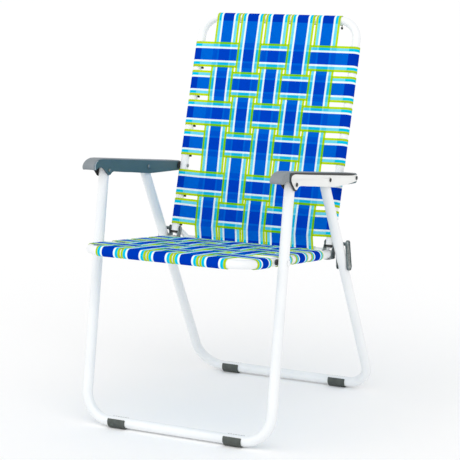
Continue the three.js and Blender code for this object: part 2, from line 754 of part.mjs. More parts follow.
/** The height of the back's webs off the side tubes' plane: they bow rearward to the low bar. */
function backWebLevel(up) {
  return WEB_LEVEL - BACK_WEB_BOW * ((BACK_TOP - up) / ROWS_REACH) ** 2;
}

/** The share by which the back's vertical webs have closed up towards the middle. */
function backClosing(up) {
  return (BACK_COLUMN_TAPER * (BACK_TOP - up)) / (BACK_TOP + LOW_BAR_DOWN);
}

/** Moves each vertex of a web sideways by an amount that depends on its place along the web. */
function slantWeb(geometry, shiftAt) {
  const place = geometry.getAttribute('position');
  for (let i = 0; i < place.count; i += 1) {
    place.setZ(i, place.getZ(i) + shiftAt(place.getX(i)));
  }
}

/** A web that runs across a frame from one side tube to the other. */
function crossWeb(columns, level, firstOver) {
  const rightTube = [FRAME_TUBE_X, 0];
  const woven = weave(columns, () => level, firstOver, COLUMN_HALF);
  const meeting = meetingAngle(woven[woven.length - 1], rightTube, FRAME_TUBE_RADIUS);
  return webBand([
    ...wrap([-FRAME_TUBE_X, 0], FRAME_TUBE_RADIUS, 330, 180 - meeting),
    ...woven,
    ...wrap(rightTube, FRAME_TUBE_RADIUS, meeting, -150),
  ]);
}

function backVerticalWeb(x, firstOver) {
  const lowBar = [LOW_BAR_DOWN, -LOW_BAR_BEHIND];
  const rowsDown = BACK_ROWS.map((up) => -up);
  const woven = weave(rowsDown, (down) => backWebLevel(-down), firstOver, ROW_HALF);
  const meeting = meetingAngle(woven[woven.length - 1], lowBar, LOW_BAR_RADIUS);
  const web = webBand([
    ...wrap([-BACK_TOP, 0], FRAME_TUBE_RADIUS, 330, 90),
    ...woven,
    ...wrap(lowBar, LOW_BAR_RADIUS, meeting, -150),
  ]);
  slantWeb(web, (down) => x * backClosing(-down));
  return web;
}

function backCrossWeb(up, firstOver) {
  const columns = BACK_COLUMNS.map((x) => x * (1 - backClosing(up)));
  return crossWeb(columns, backWebLevel(up), firstOver);
}

function backWebs() {
  const down = BACK_UP.clone().negate();
  BACK_COLUMNS.forEach((x, i) => {
    const web = backVerticalWeb(x, i % 2 === 1);
    placeWeb(web, point(x, BACK_LINE_POINT), down, BACK_FRONT, ACROSS.clone().negate());
    addPiece(`back_vertical_web_${i + 1}`, web, 'blueWebbing');
  });
  BACK_ROWS.forEach((up, i) => {
    const web = backCrossWeb(up, i % 2 === 0);
    placeWeb(web, point(0, onBack(up)), ACROSS, BACK_FRONT, BACK_UP);
    addPiece(`back_cross_web_${i + 1}`, web, 'blueWebbing');
  });
}

function seatWebs() {
  SEAT_COLUMNS.forEach((x, i) => {
    const web = webBand([
      ...wrap([0, 0], FRAME_TUBE_RADIUS, 330, 90),
      ...weave(SEAT_ROWS, () => WEB_LEVEL, i % 2 === 1, ROW_HALF),
      ...wrap([SEAT_REAR_BAR, 0], SEAT_REAR_BAR_RADIUS, 90, -150),
    ]);
    placeWeb(web, point(x, SEAT_FRONT), SEAT_REARWARD, SEAT_UP, ACROSS);
    addPiece(`seat_lengthwise_web_${i + 1}`, web, 'blueWebbing');
  });
  SEAT_ROWS.forEach((behind, i) => {
    const web = crossWeb(SEAT_COLUMNS, WEB_LEVEL, i % 2 === 0);
    placeWeb(web, point(0, onSeat(behind)), ACROSS, SEAT_UP, SEAT_REARWARD.clone().negate());
    addPiece(`seat_cross_web_${i + 1}`, web, 'blueWebbing');
  });
}

legFrame('front_leg_frame', FRONT_LEG_PIVOT, FRONT_FOOT, SEAT_PIVOT);
legFrame('rear_leg_frame', REAR_LEG_PIVOT, REAR_FOOT, LINK_PIVOT);
backFrame();
seatFrame();
seatRearCrossbar();
backLowerCrossbar();
bothSides((side, name) => {
  footClip(`${name}_front_foot_clip`, side * FOOT_CLIP_X, FRONT_FOOT);
  footClip(`${name}_rear_foot_clip`, side * FOOT_CLIP_X, REAR_FOOT);
});
bothSides(armrest);
bothSides(armPlate);
bothSides(armRivets);
bothSides(seatPivot);
bothSides(hingeBracket);
bothSides(hingeLinks);
bothSides(backTubeCap);
backWebs();
seatWebs();

export default group;
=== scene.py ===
"""The looks of a folding webbed lawn chair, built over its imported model.

Sizes are in millimetres until a mesh is made, and in metres after that. X runs across the
chair, Y from front to back and Z up. A side point is a (depth y, height z) pair, and a layer
is a pair of distances from the middle of the chair.
"""

from __future__ import annotations

import logging
import math
from collections.abc import Callable, Iterable, Sequence
from dataclasses import dataclass, field
from enum import Enum
from functools import partial

import bmesh
import bpy
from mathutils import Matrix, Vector

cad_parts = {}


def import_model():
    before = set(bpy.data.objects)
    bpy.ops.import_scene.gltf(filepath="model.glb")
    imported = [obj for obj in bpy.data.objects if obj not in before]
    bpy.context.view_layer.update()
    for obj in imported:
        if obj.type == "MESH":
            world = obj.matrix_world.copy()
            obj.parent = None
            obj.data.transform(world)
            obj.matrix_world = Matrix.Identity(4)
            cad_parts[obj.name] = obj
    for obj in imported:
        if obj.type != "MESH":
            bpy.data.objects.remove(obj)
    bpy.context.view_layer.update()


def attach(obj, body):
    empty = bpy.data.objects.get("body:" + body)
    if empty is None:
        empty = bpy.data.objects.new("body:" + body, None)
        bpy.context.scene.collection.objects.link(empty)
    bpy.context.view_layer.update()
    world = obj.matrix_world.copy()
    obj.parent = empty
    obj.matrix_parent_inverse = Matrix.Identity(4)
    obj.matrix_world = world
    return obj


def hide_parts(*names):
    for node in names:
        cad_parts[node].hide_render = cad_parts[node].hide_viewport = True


log = logging.getLogger("lawn_chair")

MM = 0.001
GAP = 0.3  # between pieces that meet
SAME_POINT = 0.002
EMPTY_FACE = 0.001
STRAIGHT = 1e-6
SHARP_ANGLE = math.radians(38)
CORNER_CUT = 0.22  # of each side, where an outline is rounded

SidePoint = tuple[float, float]
Layer = tuple[float, float]
Colour = tuple[float, float, float, float]
Depth = Callable[[float, float], float]


class Side(Enum):
    """The chair's right and left, as they are seen from the front, with the sign of X."""

    RIGHT = 1
    LEFT = -1

    @property
    def label(self) -> str:
        """The word that starts the names of this side's parts."""
        return self.name.lower()


class Zone(Enum):
    """What lies behind a stretch of webbing, as the value its map holds."""

    TUBE = 0.0
    CROSSING = 1.0
    OPEN = 2.0


class GripFace(Enum):
    """The parts of an armrest's surface, numbered as its finishes are listed."""

    TOP = 0
    SKIRT = 1
    # The hollow takes black plastic, painted as the deep shade under the grip.
    PAINTED_SHADE_HOLLOW = 2
    CORNER = 3


def point_towards(start: SidePoint, end: SidePoint, distance: float) -> SidePoint:
    """Finds the point at a distance from start towards end; a negative one is behind start."""
    share = distance / math.dist(start, end)
    return (start[0] + (end[0] - start[0]) * share, start[1] + (end[1] - start[1]) * share)


def on_circle(centre: SidePoint, radius: float, degrees: float) -> SidePoint:
    """Finds the point at an angle on a circle, counted from rearward towards up."""
    angle = math.radians(degrees)
    return (centre[0] + radius * math.cos(angle), centre[1] + radius * math.sin(angle))


def arc(
    centre: SidePoint, radius: float, start: float, end: float, steps: int
) -> list[SidePoint]:
    """Lists points along an arc from one angle to another, both in degrees."""
    turn = (end - start) / steps
    return [on_circle(centre, radius, start + turn * i) for i in range(steps + 1)]


def angles_round(count: int) -> list[float]:
    """Lists the angles of evenly spaced points round a circle, in radians."""
    return [2 * math.pi * k / count for k in range(count)]


@dataclass(frozen=True)
class SideView:
    """The chair's pivots, feet, tubes and sloping lines in the side view, as in its solids."""

    leg_radius: float = 11.0
    frame_radius: float = 9.5
    tube_wall: float = 1.2
    leg_x: float = 221.0
    frame_x: float = 194.0
    front_foot: SidePoint = (-237.5, 13.5)
    front_leg_pivot: SidePoint = (-150.5, 540.2)
    seat_pivot_down_leg: float = 160.5
    rear_leg_pivot: SidePoint = (15.0, 528.2)
    rear_foot: SidePoint = (287.5, 13.5)
    link_pivot_down_leg: float = 233.3
    back_pivot: SidePoint = (153.9, 514.5)
    back_line: SidePoint = (155.0, 514.2)
    back_lean: float = math.atan(0.3)
    back_top: float = 349.5
    back_tube_end: float = -154.6
    hinge_below_arm: float = 146.5
    hinge_behind_axis: float = 1.5
    seat_front: SidePoint = (-290.5, 393.4)
    seat_slope: float = math.atan(0.1103)
    seat_length: float = 399.2
    low_bar: SidePoint = (132.0, 350.5)

    def on_back(self, up: float, front: float = 0.0) -> SidePoint:
        """Finds a point by its place on the back.

        Args:
            up: how far it is up the back's line from the armrest.
            front: how far it is in front of the back's tube axis.

        Returns:
            The side point.
        """
        sine, cosine = math.sin(self.back_lean), math.cos(self.back_lean)
        return (
            self.back_line[0] + up * sine - front * cosine,
            self.back_line[1] + up * cosine + front * sine,
        )

    def on_seat(self, behind: float, above: float = 0.0) -> SidePoint:
        """Finds a point by its place on the seat.

        Args:
            behind: how far it is behind the seat's front run.
            above: how far it is above the seat's tube axis.

        Returns:
            The side point.
        """
        sine, cosine = math.sin(self.seat_slope), math.cos(self.seat_slope)
        return (
            self.seat_front[0] + behind * cosine + above * sine,
            self.seat_front[1] - behind * sine + above * cosine,
        )

    @property
    def hinge(self) -> SidePoint:
        """The pivot between the seat and the back."""
        return self.on_back(-self.hinge_below_arm, -self.hinge_behind_axis)

    @property
    def seat_pivot(self) -> SidePoint:
        """The bolt through the front leg and the seat tube."""
        return point_towards(self.front_leg_pivot, self.front_foot, self.seat_pivot_down_leg)

    @property
    def link_pivot(self) -> SidePoint:
        """The rivet that holds the hinge links to the rear leg."""
        return point_towards(self.rear_leg_pivot, self.rear_foot, self.link_pivot_down_leg)

    @property
    def frame_inner_face(self) -> float:
        """How far out a piece on the inner side of a seat or back tube begins."""
        return self.frame_x - self.frame_radius - GAP

    @property
    def frame_outer_face(self) -> float:
        """How far out a piece on the outer side of a seat or back tube begins."""
        return self.frame_x + self.frame_radius + GAP


CHAIR = SideView()


# Meshes


@dataclass
class Shell:
    """Closed surfaces in mm, with a finish for each face and map values for each point."""

    points: list[Vector] = field(default_factory=list)
    faces: list[tuple[int, ...]] = field(default_factory=list)
    finish_of: list[int] = field(default_factory=list)
    maps: dict[str, list[tuple[float, float]]] = field(default_factory=dict)

    def add(self, other: Shell) -> None:
        """Takes in another shell's surfaces, but not its maps.

        Args:
            other: the shell to take in.
        """
        base = len(self.points)
        self.points += other.points
        self.faces += [tuple(i + base for i in face) for face in other.faces]
        self.finish_of += other.finish_of

    def mesh(self, name: str) -> bpy.types.Mesh:
        """Makes the Blender mesh, in metres, with outward faces and sharp edges marked.

        Args:
            name: the mesh's name.

        Returns:
            The mesh.
        """
        mesh = bpy.data.meshes.new(name)
        mesh.from_pydata([p * MM for p in self.points], [], self.faces)
        mesh.polygons.foreach_set("material_index", self.finish_of)
        for map_name, values in self.maps.items():
            layer = mesh.uv_layers.new(name=map_name)
            for loop in mesh.loops:
                layer.data[loop.index].uv = values[loop.vertex_index]
        work = bmesh.new()
        work.from_mesh(mesh)
        bmesh.ops.remove_doubles(work, verts=work.verts, dist=SAME_POINT * MM)
        bmesh.ops.dissolve_degenerate(work, edges=work.edges, dist=EMPTY_FACE * MM)
        bmesh.ops.recalc_face_normals(work, faces=work.faces)
        work.to_mesh(mesh)
        work.free()
        mesh.shade_smooth()
        mesh.set_sharp_from_angle(angle=SHARP_ANGLE)
        return mesh


def first_finish(ring: int, place: int) -> int:
    """Gives every face the first finish."""
    return 0


def loft(
    rings: Sequence[Sequence[Vector]],
    finish: Callable[[int, int], int] = first_finish,
    closed: bool = False,
) -> Shell:
    """Joins rings of equal size into a surface.

    Args:
        rings: closed loops of points, in order.
        finish: gives a face's finish by ring and by place round the ring.
        closed: True joins the last ring to the first; False closes both ends with caps.

    Returns:
        The shell.
    """
    size = len(rings[0])
    shell = Shell(points=[point for ring in rings for point in ring])
    last = len(rings) if closed else len(rings) - 1
    for i in range(last):
        here, there = i * size, ((i + 1) % len(rings)) * size
        for k in range(size):
            after = (k + 1) % size
            shell.faces.append((here + k, here + after, there + after, there + k))
            shell.finish_of.append(finish(i, k))
    if not closed:
        base = (len(rings) - 1) * size
        shell.faces.append(tuple(reversed(range(size))))
        shell.faces.append(tuple(range(base, base + size)))
        shell.finish_of += [finish(0, 0)] * 2
    return shell


def bent_path(
    corners: Sequence[Vector], radius: float, steps: int = 14
) -> list[tuple[Vector, Vector]]:
    """Rounds the corners of a path.

    Args:
        corners: the path's ends and corners, in mm.
        radius: the bend radius of its centre line.
        steps: how many steps each bend takes.

    Returns:
        (point, direction) pairs along the path.
    """
    first = (corners[1] - corners[0]).normalized()
    path = [(corners[0], first)]
    for before, corner, after in zip(corners, corners[1:], corners[2:]):
        incoming = (corner - before).normalized()
        outgoing = (after - corner).normalized()
        angle = incoming.angle(outgoing)
        axis = incoming.cross(outgoing).normalized()
        start = corner - incoming * radius * math.tan(angle / 2)
        inward = axis.cross(incoming)
        for i in range(steps + 1):
            turn = angle * i / steps
            direction = incoming * math.cos(turn) + inward * math.sin(turn)
            place = start + incoming * radius * math.sin(turn)
            path.append((place + inward * radius * (1 - math.cos(turn)), direction))
    path.append((corners[-1], (corners[-1] - corners[-2]).normalized()))
    return path


def tube_shell(
    path: Sequence[tuple[Vector, Vector]], radius: float, wall: float, sides: int = 40
) -> Shell:
    """Sweeps a round tube along a path that lies in one plane.

    Args:
        path: (point, direction) pairs.
        radius: the tube's outer radius, in mm.
        wall: its wall, which shows at its open ends.
        sides: how many faces go round it.

    Returns:
        The tube, closed off a little way inside each open end.
    """
    spans = [direction for _, direction in path]
    normal = Vector((0, 0, 0))
    for before, after in zip(spans, spans[1:]):
        normal += before.cross(after)
    if normal.length < STRAIGHT:
        normal = spans[0].orthogonal()
    normal.normalize()
    depth, lip = 14.0, 0.35
    start, end = path[0], path[-1]
    bore = [(depth, radius - wall), (lip, radius - wall), (0.0, radius - wall + lip)]
    edge = [*bore, (0.0, radius - lip), (lip, radius)]
    stations = [(start[0] + start[1] * d, start[1], r) for d, r in edge]
    stations += [(place, direction, radius) for place, direction in path[1:-1]]
    stations += [(end[0] - end[1] * d, end[1], r) for d, r in reversed(edge)]
    rings = []
    for place, direction, r in stations:
        second = direction.cross(normal)
        rings.append(
            [
                place + (normal * math.cos(angle) + second * math.sin(angle)) * r
                for angle in angles_round(sides)
            ]
        )
    return loft(rings)


def spun(
    profile: Sequence[tuple[float, float]],
    side: Side,
    pivot: SidePoint,
    split: int | None = None,
    segments: int = 32,
) -> Shell:
    """Turns a closed profile about an axis across the chair.

    Args:
        profile: (radius, distance from the middle of the chair) pairs.
        side: the side of the chair it is on.
        pivot: the axis in the side view.
        split: the profile place from which faces take the second finish, if any do.
        segments: how many faces go round it.

    Returns:
        The turned shell.
    """
    rings = [
        [
            Vector((side.value * x, pivot[0] + r * math.cos(angle), pivot[1] + r * math.sin(angle)))
            for r, x in profile
        ]
        for angle in angles_round(segments)
    ]
    second_from = len(profile) if split is None else split
    return loft(rings, lambda _, k: int(k >= second_from), closed=True)


def dome(radius: float, start: float, height: float, steps: int = 6) -> list[tuple[float, float]]:
    """Lists a domed head's profile from its rim at start to its top, height further on."""
    turns = [math.pi / 2 * i / steps for i in range(steps + 1)]
    return [(radius * math.cos(turn), start + height * math.sin(turn)) for turn in turns]


def rivet_shell(
    side: Side, pivot: SidePoint, layer: Layer, head_radius: float, head: float
) -> Shell:
    """A rivet with a low dome at each end; its outer head takes the second finish.

    Args:
        side: the side of the chair.
        pivot: its axis in the side view.
        layer: its two ends across the chair.
        head_radius: the radius of its heads.
        head: how high each head stands.

    Returns:
        The rivet.
    """
    shank = 3.0
    rim = head * 0.3
    inner, outer = layer
    low = dome(head_radius, inner + head - rim, rim - head)
    high = dome(head_radius, outer - head + rim, head - rim)
    profile = [
        *reversed(low),
        (head_radius, inner + head),
        (shank, inner + head),
        (shank, outer - head),
        (head_radius, outer - head),
        *high,
    ]
    return spun(profile, side, pivot, split=len(low) + 2)


def washer(side: Side, pivot: SidePoint, radius: float, layer: Layer) -> Shell:
    """A ring with softened rims.

    Args:
        side: the side of the chair.
        pivot: its axis in the side view.
        radius: its outer radius.
        layer: its two faces across the chair.

    Returns:
        The ring.
    """
    bore, soft = 3.3, 0.4
    inner, outer = layer
    profile = [
        (bore, inner),
        (radius - soft, inner),
        (radius, inner + soft),
        (radius, outer - soft),
        (radius - soft, outer),
        (bore, outer),
    ]
    return spun(profile, side, pivot)


def oriented(outline: Sequence[SidePoint]) -> list[SidePoint]:
    """Turns an outline so that it runs anticlockwise.

    Args:
        outline: the outline's points in the side view.

    Returns:
        The same points, in their own order or the other way round.
    """
    area = 0.0
    for i, here in enumerate(outline):
        after = outline[(i + 1) % len(outline)]
        area += here[0] * after[1] - after[0] * here[1]
    return list(outline) if area > 0 else list(reversed(outline))


def rounded(outline: Sequence[SidePoint], rounds: int = 2) -> list[SidePoint]:
    """Rounds an outline by cutting its corners a few times over.

    Args:
        outline: the outline's points in the side view.
        rounds: how often each corner is cut.

    Returns:
        The rounder outline, with twice as many points for each round.
    """
    points = list(outline)
    for _ in range(rounds):
        cut = []
        for i, (y, z) in enumerate(points):
            next_y, next_z = points[(i + 1) % len(points)]
            for share in (CORNER_CUT, 1 - CORNER_CUT):
                cut.append((y + (next_y - y) * share, z + (next_z - z) * share))
        points = cut
    return points


def inset(outline: Sequence[SidePoint], distance: float) -> list[SidePoint]:
    """Moves an anticlockwise outline inward.

    Args:
        outline: the outline's points in the side view.
        distance: how far its sides move, a small distance in mm.

    Returns:
        The smaller outline.
    """
    moved = []
    for i, here in enumerate(outline):
        before, after = outline[i - 1], outline[(i + 1) % len(outline)]
        incoming = Vector((here[0] - before[0], here[1] - before[1])).normalized()
        outgoing = Vector((after[0] - here[0], after[1] - here[1])).normalized()
        direction = (incoming + outgoing).normalized()
        reach = distance / max(direction.dot(outgoing), 0.5)
        moved.append((here[0] - direction.y * reach, here[1] + direction.x * reach))
    return moved


def pressed(
    outline: Sequence[SidePoint],
    side: Side,
    steps: Sequence[tuple[float, float]],
    bright: Iterable[int] = (),
) -> Shell:
    """A plate whose faces step in and out, as sheet metal comes from a press.

    Args:
        outline: the plate's edge in the side view.
        side: the side of the chair it is on.
        steps: (inset, distance from the middle of the chair) pairs from face to face.
        bright: the steps after which the surface takes the second finish.

    Returns:
        The plate.
    """
    edge = oriented(outline)
    rings = [
        [Vector((side.value * x, y, z)) for y, z in inset(edge, distance)]
        for distance, x in steps
    ]
    return loft(rings, lambda i, _: int(i in bright))


# Finishes


def linear(colour: str) -> Colour:
    """Turns an sRGB colour into linear values.

    Args:
        colour: the colour as a hash and six hex digits.

    Returns:
        Its red, green and blue, with full alpha.
    """
    channels = [int(colour[i : i + 2], 16) / 255 for i in (1, 3, 5)]
    return (
        *(c / 12.92 if c <= 0.04045 else ((c + 0.055) / 1.055) ** 2.4 for c in channels),
        1.0,
    )


def add_node(
    tree: bpy.types.NodeTree,
    kind: str,
    inputs: dict[int | str, object] | None = None,
    stops: Sequence[tuple[float, Colour]] = (),
    **settings: object,
) -> bpy.types.Node:
    """Adds one node.

    Args:
        tree: the node tree it goes in.
        kind: its type without the leading ShaderNode.
        inputs: for each input, a value or the socket that feeds it.
        stops: a colour ramp's (place, colour) pairs.
        **settings: the node's own fields.

    Returns:
        The node.
    """
    made = tree.nodes.new("ShaderNode" + kind)
    for name, value in settings.items():
        setattr(made, name, value)
    for name, value in (inputs or {}).items():
        if isinstance(value, bpy.types.NodeSocket):
            tree.links.new(value, made.inputs[name])
        else:
            made.inputs[name].default_value = value
    if stops:
        elements = made.color_ramp.elements
        while len(elements) < len(stops):
            elements.new(1.0)
        for element, (place, colour) in zip(elements, stops):
            element.position = place
            element.color = colour
    return made


def new_material(name: str) -> tuple[bpy.types.Material, bpy.types.NodeTree]:
    """Makes an empty node material.

    Args:
        name: the material's name.

    Returns:
        The material and its node tree.
    """
    material = bpy.data.materials.new(name)
    material.use_nodes = True
    material.node_tree.nodes.clear()
    return material, material.node_tree


@dataclass(frozen=True)
class HardFinish:
    """A hard surface whose colour, gloss and fine relief vary a little from place to place."""

    name: str
    colour: str
    second: str
    roughness: tuple[float, float]
    grain_mm: float
    relief_mm: float
    metallic: float = 0.0
    patch_mm: float = 60.0
    patch_edges: tuple[float, float] = (0.35, 0.7)
    grain_edges: tuple[float, float] = (0.3, 0.7)
    ior: float = 1.5
    coat: float = 0.0
    coat_roughness: float = 0.12

    def build(self) -> bpy.types.Material:
        """Makes the material.

        Returns:
            The material, with patches in its colour and a fine grain in its gloss and relief.
        """
        material, tree = new_material(self.name)
        place = add_node(tree, "TexCoord").outputs["Object"]
        patches = add_node(
            tree, "TexNoise", {"Vector": place, "Scale": 1 / (self.patch_mm * MM), "Detail": 4.0}
        )
        colours = (linear(self.colour), linear(self.second))
        tint = add_node(
            tree,
            "ValToRGB",
            {"Fac": patches.outputs["Fac"]},
            stops=list(zip(self.patch_edges, colours)),
        )
        grain = add_node(
            tree, "TexNoise", {"Vector": place, "Scale": 1 / (self.grain_mm * MM), "Detail": 2.0}
        )
        gloss = add_node(
            tree,
            "MapRange",
            {
                "Value": grain.outputs["Fac"],
                "From Min": self.grain_edges[0],
                "From Max": self.grain_edges[1],
                "To Min": self.roughness[0],
                "To Max": self.roughness[1],
            },
        )
        bump = add_node(
            tree,
            "Bump",
            {"Height": grain.outputs["Fac"], "Distance": self.relief_mm * MM, "Strength": 1.0},
        )
        shader = add_node(
            tree,
            "BsdfPrincipled",
            {
                "Base Color": tint.outputs["Color"],
                "Metallic": self.metallic,
                "Roughness": gloss.outputs["Result"],
                "IOR": self.ior,
                "Normal": bump.outputs["Normal"],
                "Coat Weight": self.coat,
                "Coat Roughness": self.coat_roughness,
            },
        )
        add_node(tree, "OutputMaterial", {"Surface": shader.outputs["BSDF"]})
        return material


@dataclass(frozen=True)
class Webbing:
    """Polypropylene webbing, plain woven from flat coloured yarns in lengthwise stripes.

    Its yarns are tapes, 1.3 mm wide along the web and 1.7 mm wide across it. Light comes
    through, so a stripe is paler where nothing lies behind it, and a web that crosses behind
    shows through. A strap's web map holds a point's distance across and along it, in mm. Its
    behind map holds how far across the web behind it a point lies, and a Zone.
    """

    name: str = "woven_polypropylene_webbing"
    width: float = 58.8
    warp_mm: float = 1.3
    weft_mm: float = 1.7
    relief_mm: float = 0.16
    relief_strength: float = 0.8
    wear_mm: float = 11.11
    wear_edges: tuple[float, float] = (0.25, 0.75)
    wear_shades: tuple[float, float] = (0.93, 1.04)
    gloss: tuple[float, float] = (0.62, 0.42)
    edges: tuple[float, ...] = (13.6, 17.9, 24.2)
    join: float = 0.25
    laid: tuple[str, ...] = ("#003FC0", "#DFF3F7", "#00B4E0", "#70C410")
    backlit: tuple[str, ...] = ("#0063D2", "#EEF9FC", "#6CDAF2", "#BDDC10")
    on_tube: tuple[str, ...] = ("#0038B6", "#F0FAFC", "#00C4EA", "#B2D018")
    shows: tuple[float, ...] = (0.03, 0.9, 0.45, 0.5)

    def stripe_stops(self, values: Sequence[Colour]) -> list[tuple[float, Colour]]:
        """Places one value per stripe from the web's middle to its edge, with narrow joins.

        Args:
            values: the stripes' values, the middle one first.

        Returns:
            A colour ramp's (place, colour) pairs.
        """
        half = self.width / 2
        stops = [(0.0, values[0])]
        for edge, before, after in zip(self.edges, values, values[1:]):
            stops.append(((edge - self.join) / half, before))
            stops.append(((edge + self.join) / half, after))
        return stops

    def from_middle(
        self, tree: bpy.types.NodeTree, across: bpy.types.NodeSocket
    ) -> bpy.types.NodeSocket:
        """Scales a distance across a web to 0 at its middle and 1 at its edge.

        Args:
            tree: the node tree.
            across: the distance from the web's middle, in mm.

        Returns:
            The scaled distance.
        """
        size = add_node(tree, "Math", {0: across}, operation="ABSOLUTE").outputs[0]
        scale = 2 / self.width
        return add_node(tree, "Math", {0: size, 1: scale}, operation="MULTIPLY").outputs[0]

    def yarns(
        self, tree: bpy.types.NodeTree, distance: bpy.types.NodeSocket, pitch: float
    ) -> bpy.types.NodeSocket:
        """Raises one set of yarns.

        Args:
            tree: the node tree.
            distance: the distance across the yarns, in mm.
            pitch: how far apart the yarns are, in mm.

        Returns:
            A wave with one hump to a yarn.
        """
        scale = math.pi / pitch
        turn = add_node(tree, "Math", {0: distance, 1: scale}, operation="MULTIPLY").outputs[0]
        wave = add_node(tree, "Math", {0: turn}, operation="SINE").outputs[0]
        return add_node(tree, "Math", {0: wave}, operation="ABSOLUTE").outputs[0]

    def striped(
        self, tree: bpy.types.NodeTree, across: bpy.types.NodeSocket
    ) -> bpy.types.NodeSocket:
        """Colours the stripes by what lies behind the web.

        Args:
            tree: the node tree.
            across: the distance from the web's middle, in mm.

        Returns:
            The colour.
        """
        stripe = self.from_middle(tree, across)
        laid, backlit, on_tube = (
            add_node(
                tree,
                "ValToRGB",
                {"Fac": stripe},
                stops=self.stripe_stops([linear(colour) for colour in colours]),
            ).outputs["Color"]
            for colours in (self.laid, self.backlit, self.on_tube)
        )
        behind_map = add_node(tree, "UVMap", uv_map="behind").outputs["UV"]
        behind = add_node(tree, "SeparateXYZ", {"Vector": behind_map}).outputs
        crossing = add_node(
            tree,
            "ValToRGB",
            {"Fac": self.from_middle(tree, behind["X"])},
            stops=self.stripe_stops([(share, share, share, 1.0) for share in self.shows]),
        ).outputs["Color"]
        # The zone is 0 over a tube, 1 over a crossing web and 2 over nothing.
        zone = behind["Y"]
        open_air = add_node(
            tree, "Math", {0: zone, 1: 1.0}, operation="SUBTRACT", use_clamp=True
        ).outputs[0]
        through = add_node(tree, "Mix", {0: open_air, 2: crossing, 3: 1.0}, data_type="FLOAT")
        light = add_node(
            tree, "Math", {0: zone, 1: through.outputs[0]}, operation="MULTIPLY", use_clamp=True
        ).outputs[0]
        tube = add_node(
            tree, "Math", {0: 1.0, 1: zone}, operation="SUBTRACT", use_clamp=True
        ).outputs[0]
        lit = add_node(tree, "Mix", {0: light, 6: laid, 7: backlit}, data_type="RGBA").outputs[2]
        return add_node(tree, "Mix", {0: tube, 6: lit, 7: on_tube}, data_type="RGBA").outputs[2]

    def build(self) -> bpy.types.Material:
        """Makes the material.

        Returns:
            The material, with its stripes, a little wear and its weave.
        """
        material, tree = new_material(self.name)
        web_map = add_node(tree, "UVMap", uv_map="web").outputs["UV"]
        web = add_node(tree, "SeparateXYZ", {"Vector": web_map}).outputs
        wear = add_node(
            tree, "TexNoise", {"Vector": web_map, "Scale": 1 / self.wear_mm, "Detail": 5.0}
        )
        shade = add_node(
            tree,
            "MapRange",
            {
                "Value": wear.outputs["Fac"],
                "From Min": self.wear_edges[0],
                "From Max": self.wear_edges[1],
                "To Min": self.wear_shades[0],
                "To Max": self.wear_shades[1],
            },
        )
        worn = add_node(
            tree,
            "Mix",
            {0: 1.0, 6: self.striped(tree, web["X"]), 7: shade.outputs["Result"]},
            data_type="RGBA",
            blend_type="MULTIPLY",
        )
        warp = self.yarns(tree, web["X"], self.warp_mm)
        weft = self.yarns(tree, web["Y"], self.weft_mm)
        weave = add_node(tree, "Math", {0: warp, 1: weft}, operation="MULTIPLY").outputs[0]
        relief, strength = self.relief_mm * MM, self.relief_strength
        bump = add_node(
            tree, "Bump", {"Height": weave, "Distance": relief, "Strength": strength}
        )
        gloss = add_node(
            tree, "MapRange", {"Value": weave, "To Min": self.gloss[0], "To Max": self.gloss[1]}
        )
        shader = add_node(
            tree,
            "BsdfPrincipled",
            {
                "Base Color": worn.outputs[2],
                "Roughness": gloss.outputs["Result"],
                "Normal": bump.outputs["Normal"],
                "Specular IOR Level": 0.0,
            },
        )
        add_node(tree, "OutputMaterial", {"Surface": shader.outputs["BSDF"]})
        return material


Finish = HardFinish | Webbing

# The orange peel of baked powder and enamel is 1 to 2 mm wide and is drawn so. The grain of
# moulded plastic and of plated steel is about 0.2 mm wide, which is too fine to show, so it is
# drawn 0.7 to 1.1 mm wide.

# Powder coat on steel tube: a bright satin skin with the faint orange peel of baked powder.
POWDER_COAT = HardFinish(
    "powder_coated_steel", "#F3F5F6", "#ECEFF1", (0.26, 0.38), 1.6, 0.03, patch_mm=90, coat=0.25
)
# Enamel on sheet steel: a little warmer and flatter than the tubes.
ENAMEL = HardFinish("enamelled_sheet_steel", "#F2F3F1", "#ECEDEB", (0.32, 0.42), 1.2, 0.02)
# Injection moulded polypropylene on the grip's top and front, painted a light grey as if lit from
# above.
GRIP_TOP_PAINTED_LIT = HardFinish("moulded_polypropylene_top_painted_lit", "#8B9196", "#7D858A", (0.5, 0.66), 0.7, 0.05)
# The same plastic on the skirts, painted a deeper blue grey as if in shade, with a shallower grain.
GRIP_SKIRT_PAINTED_SHADE = HardFinish(
    "moulded_polypropylene_skirt", "#496870", "#426169", (0.45, 0.6), 0.7, 0.04
)
# The same plastic along the nose's near corner, painted pale as a highlight on the rounded edge.
GRIP_CORNER_PAINTED_HIGHLIGHT = HardFinish(
    "moulded_polypropylene_painted_highlight", "#B9C3C6", "#A9B4B8", (0.4, 0.5), 0.7, 0.03
)
# Carbon filled polyethylene: soft black with a dull shine.
BLACK_PLASTIC = HardFinish("black_polyethylene", "#1B1D1E", "#242728", (0.42, 0.58), 0.8, 0.04)
# Moulded vinyl feet: dark green grey, rubbed a little lighter in places.
FOOT_VINYL = HardFinish("moulded_vinyl", "#434945", "#505652", (0.5, 0.68), 0.9, 0.05, patch_mm=18)
# Zinc plate on pressed steel: cool grey metal with cloudy crystal patches.
ZINC = HardFinish(
    "zinc_plated_steel", "#A7ABA9", "#7F8583", (0.24, 0.42), 1.1, 0.02, metallic=1.0, patch_mm=5
)
# Zinc plate gone dull on the hinge brackets and links: darker, with brighter rubbed patches.
DULL_ZINC = HardFinish(
    "dull_zinc_plated_steel",
    "#7F8B8D",
    "#535F60",
    (0.26, 0.44),
    1.1,
    0.02,
    metallic=1.0,
    patch_mm=5,
)
# Outer rivet heads of the same steel as the inner heads, painted nearly black for a dark
# reflection, with a small sharp highlight.
RIVET_HEAD_PAINTED_DARK_REFLECTION = HardFinish(
    "steel_painted_dark_reflection", "#2C3031", "#232627", (0.22, 0.34), 0.8, 0.01, metallic=0.3
)
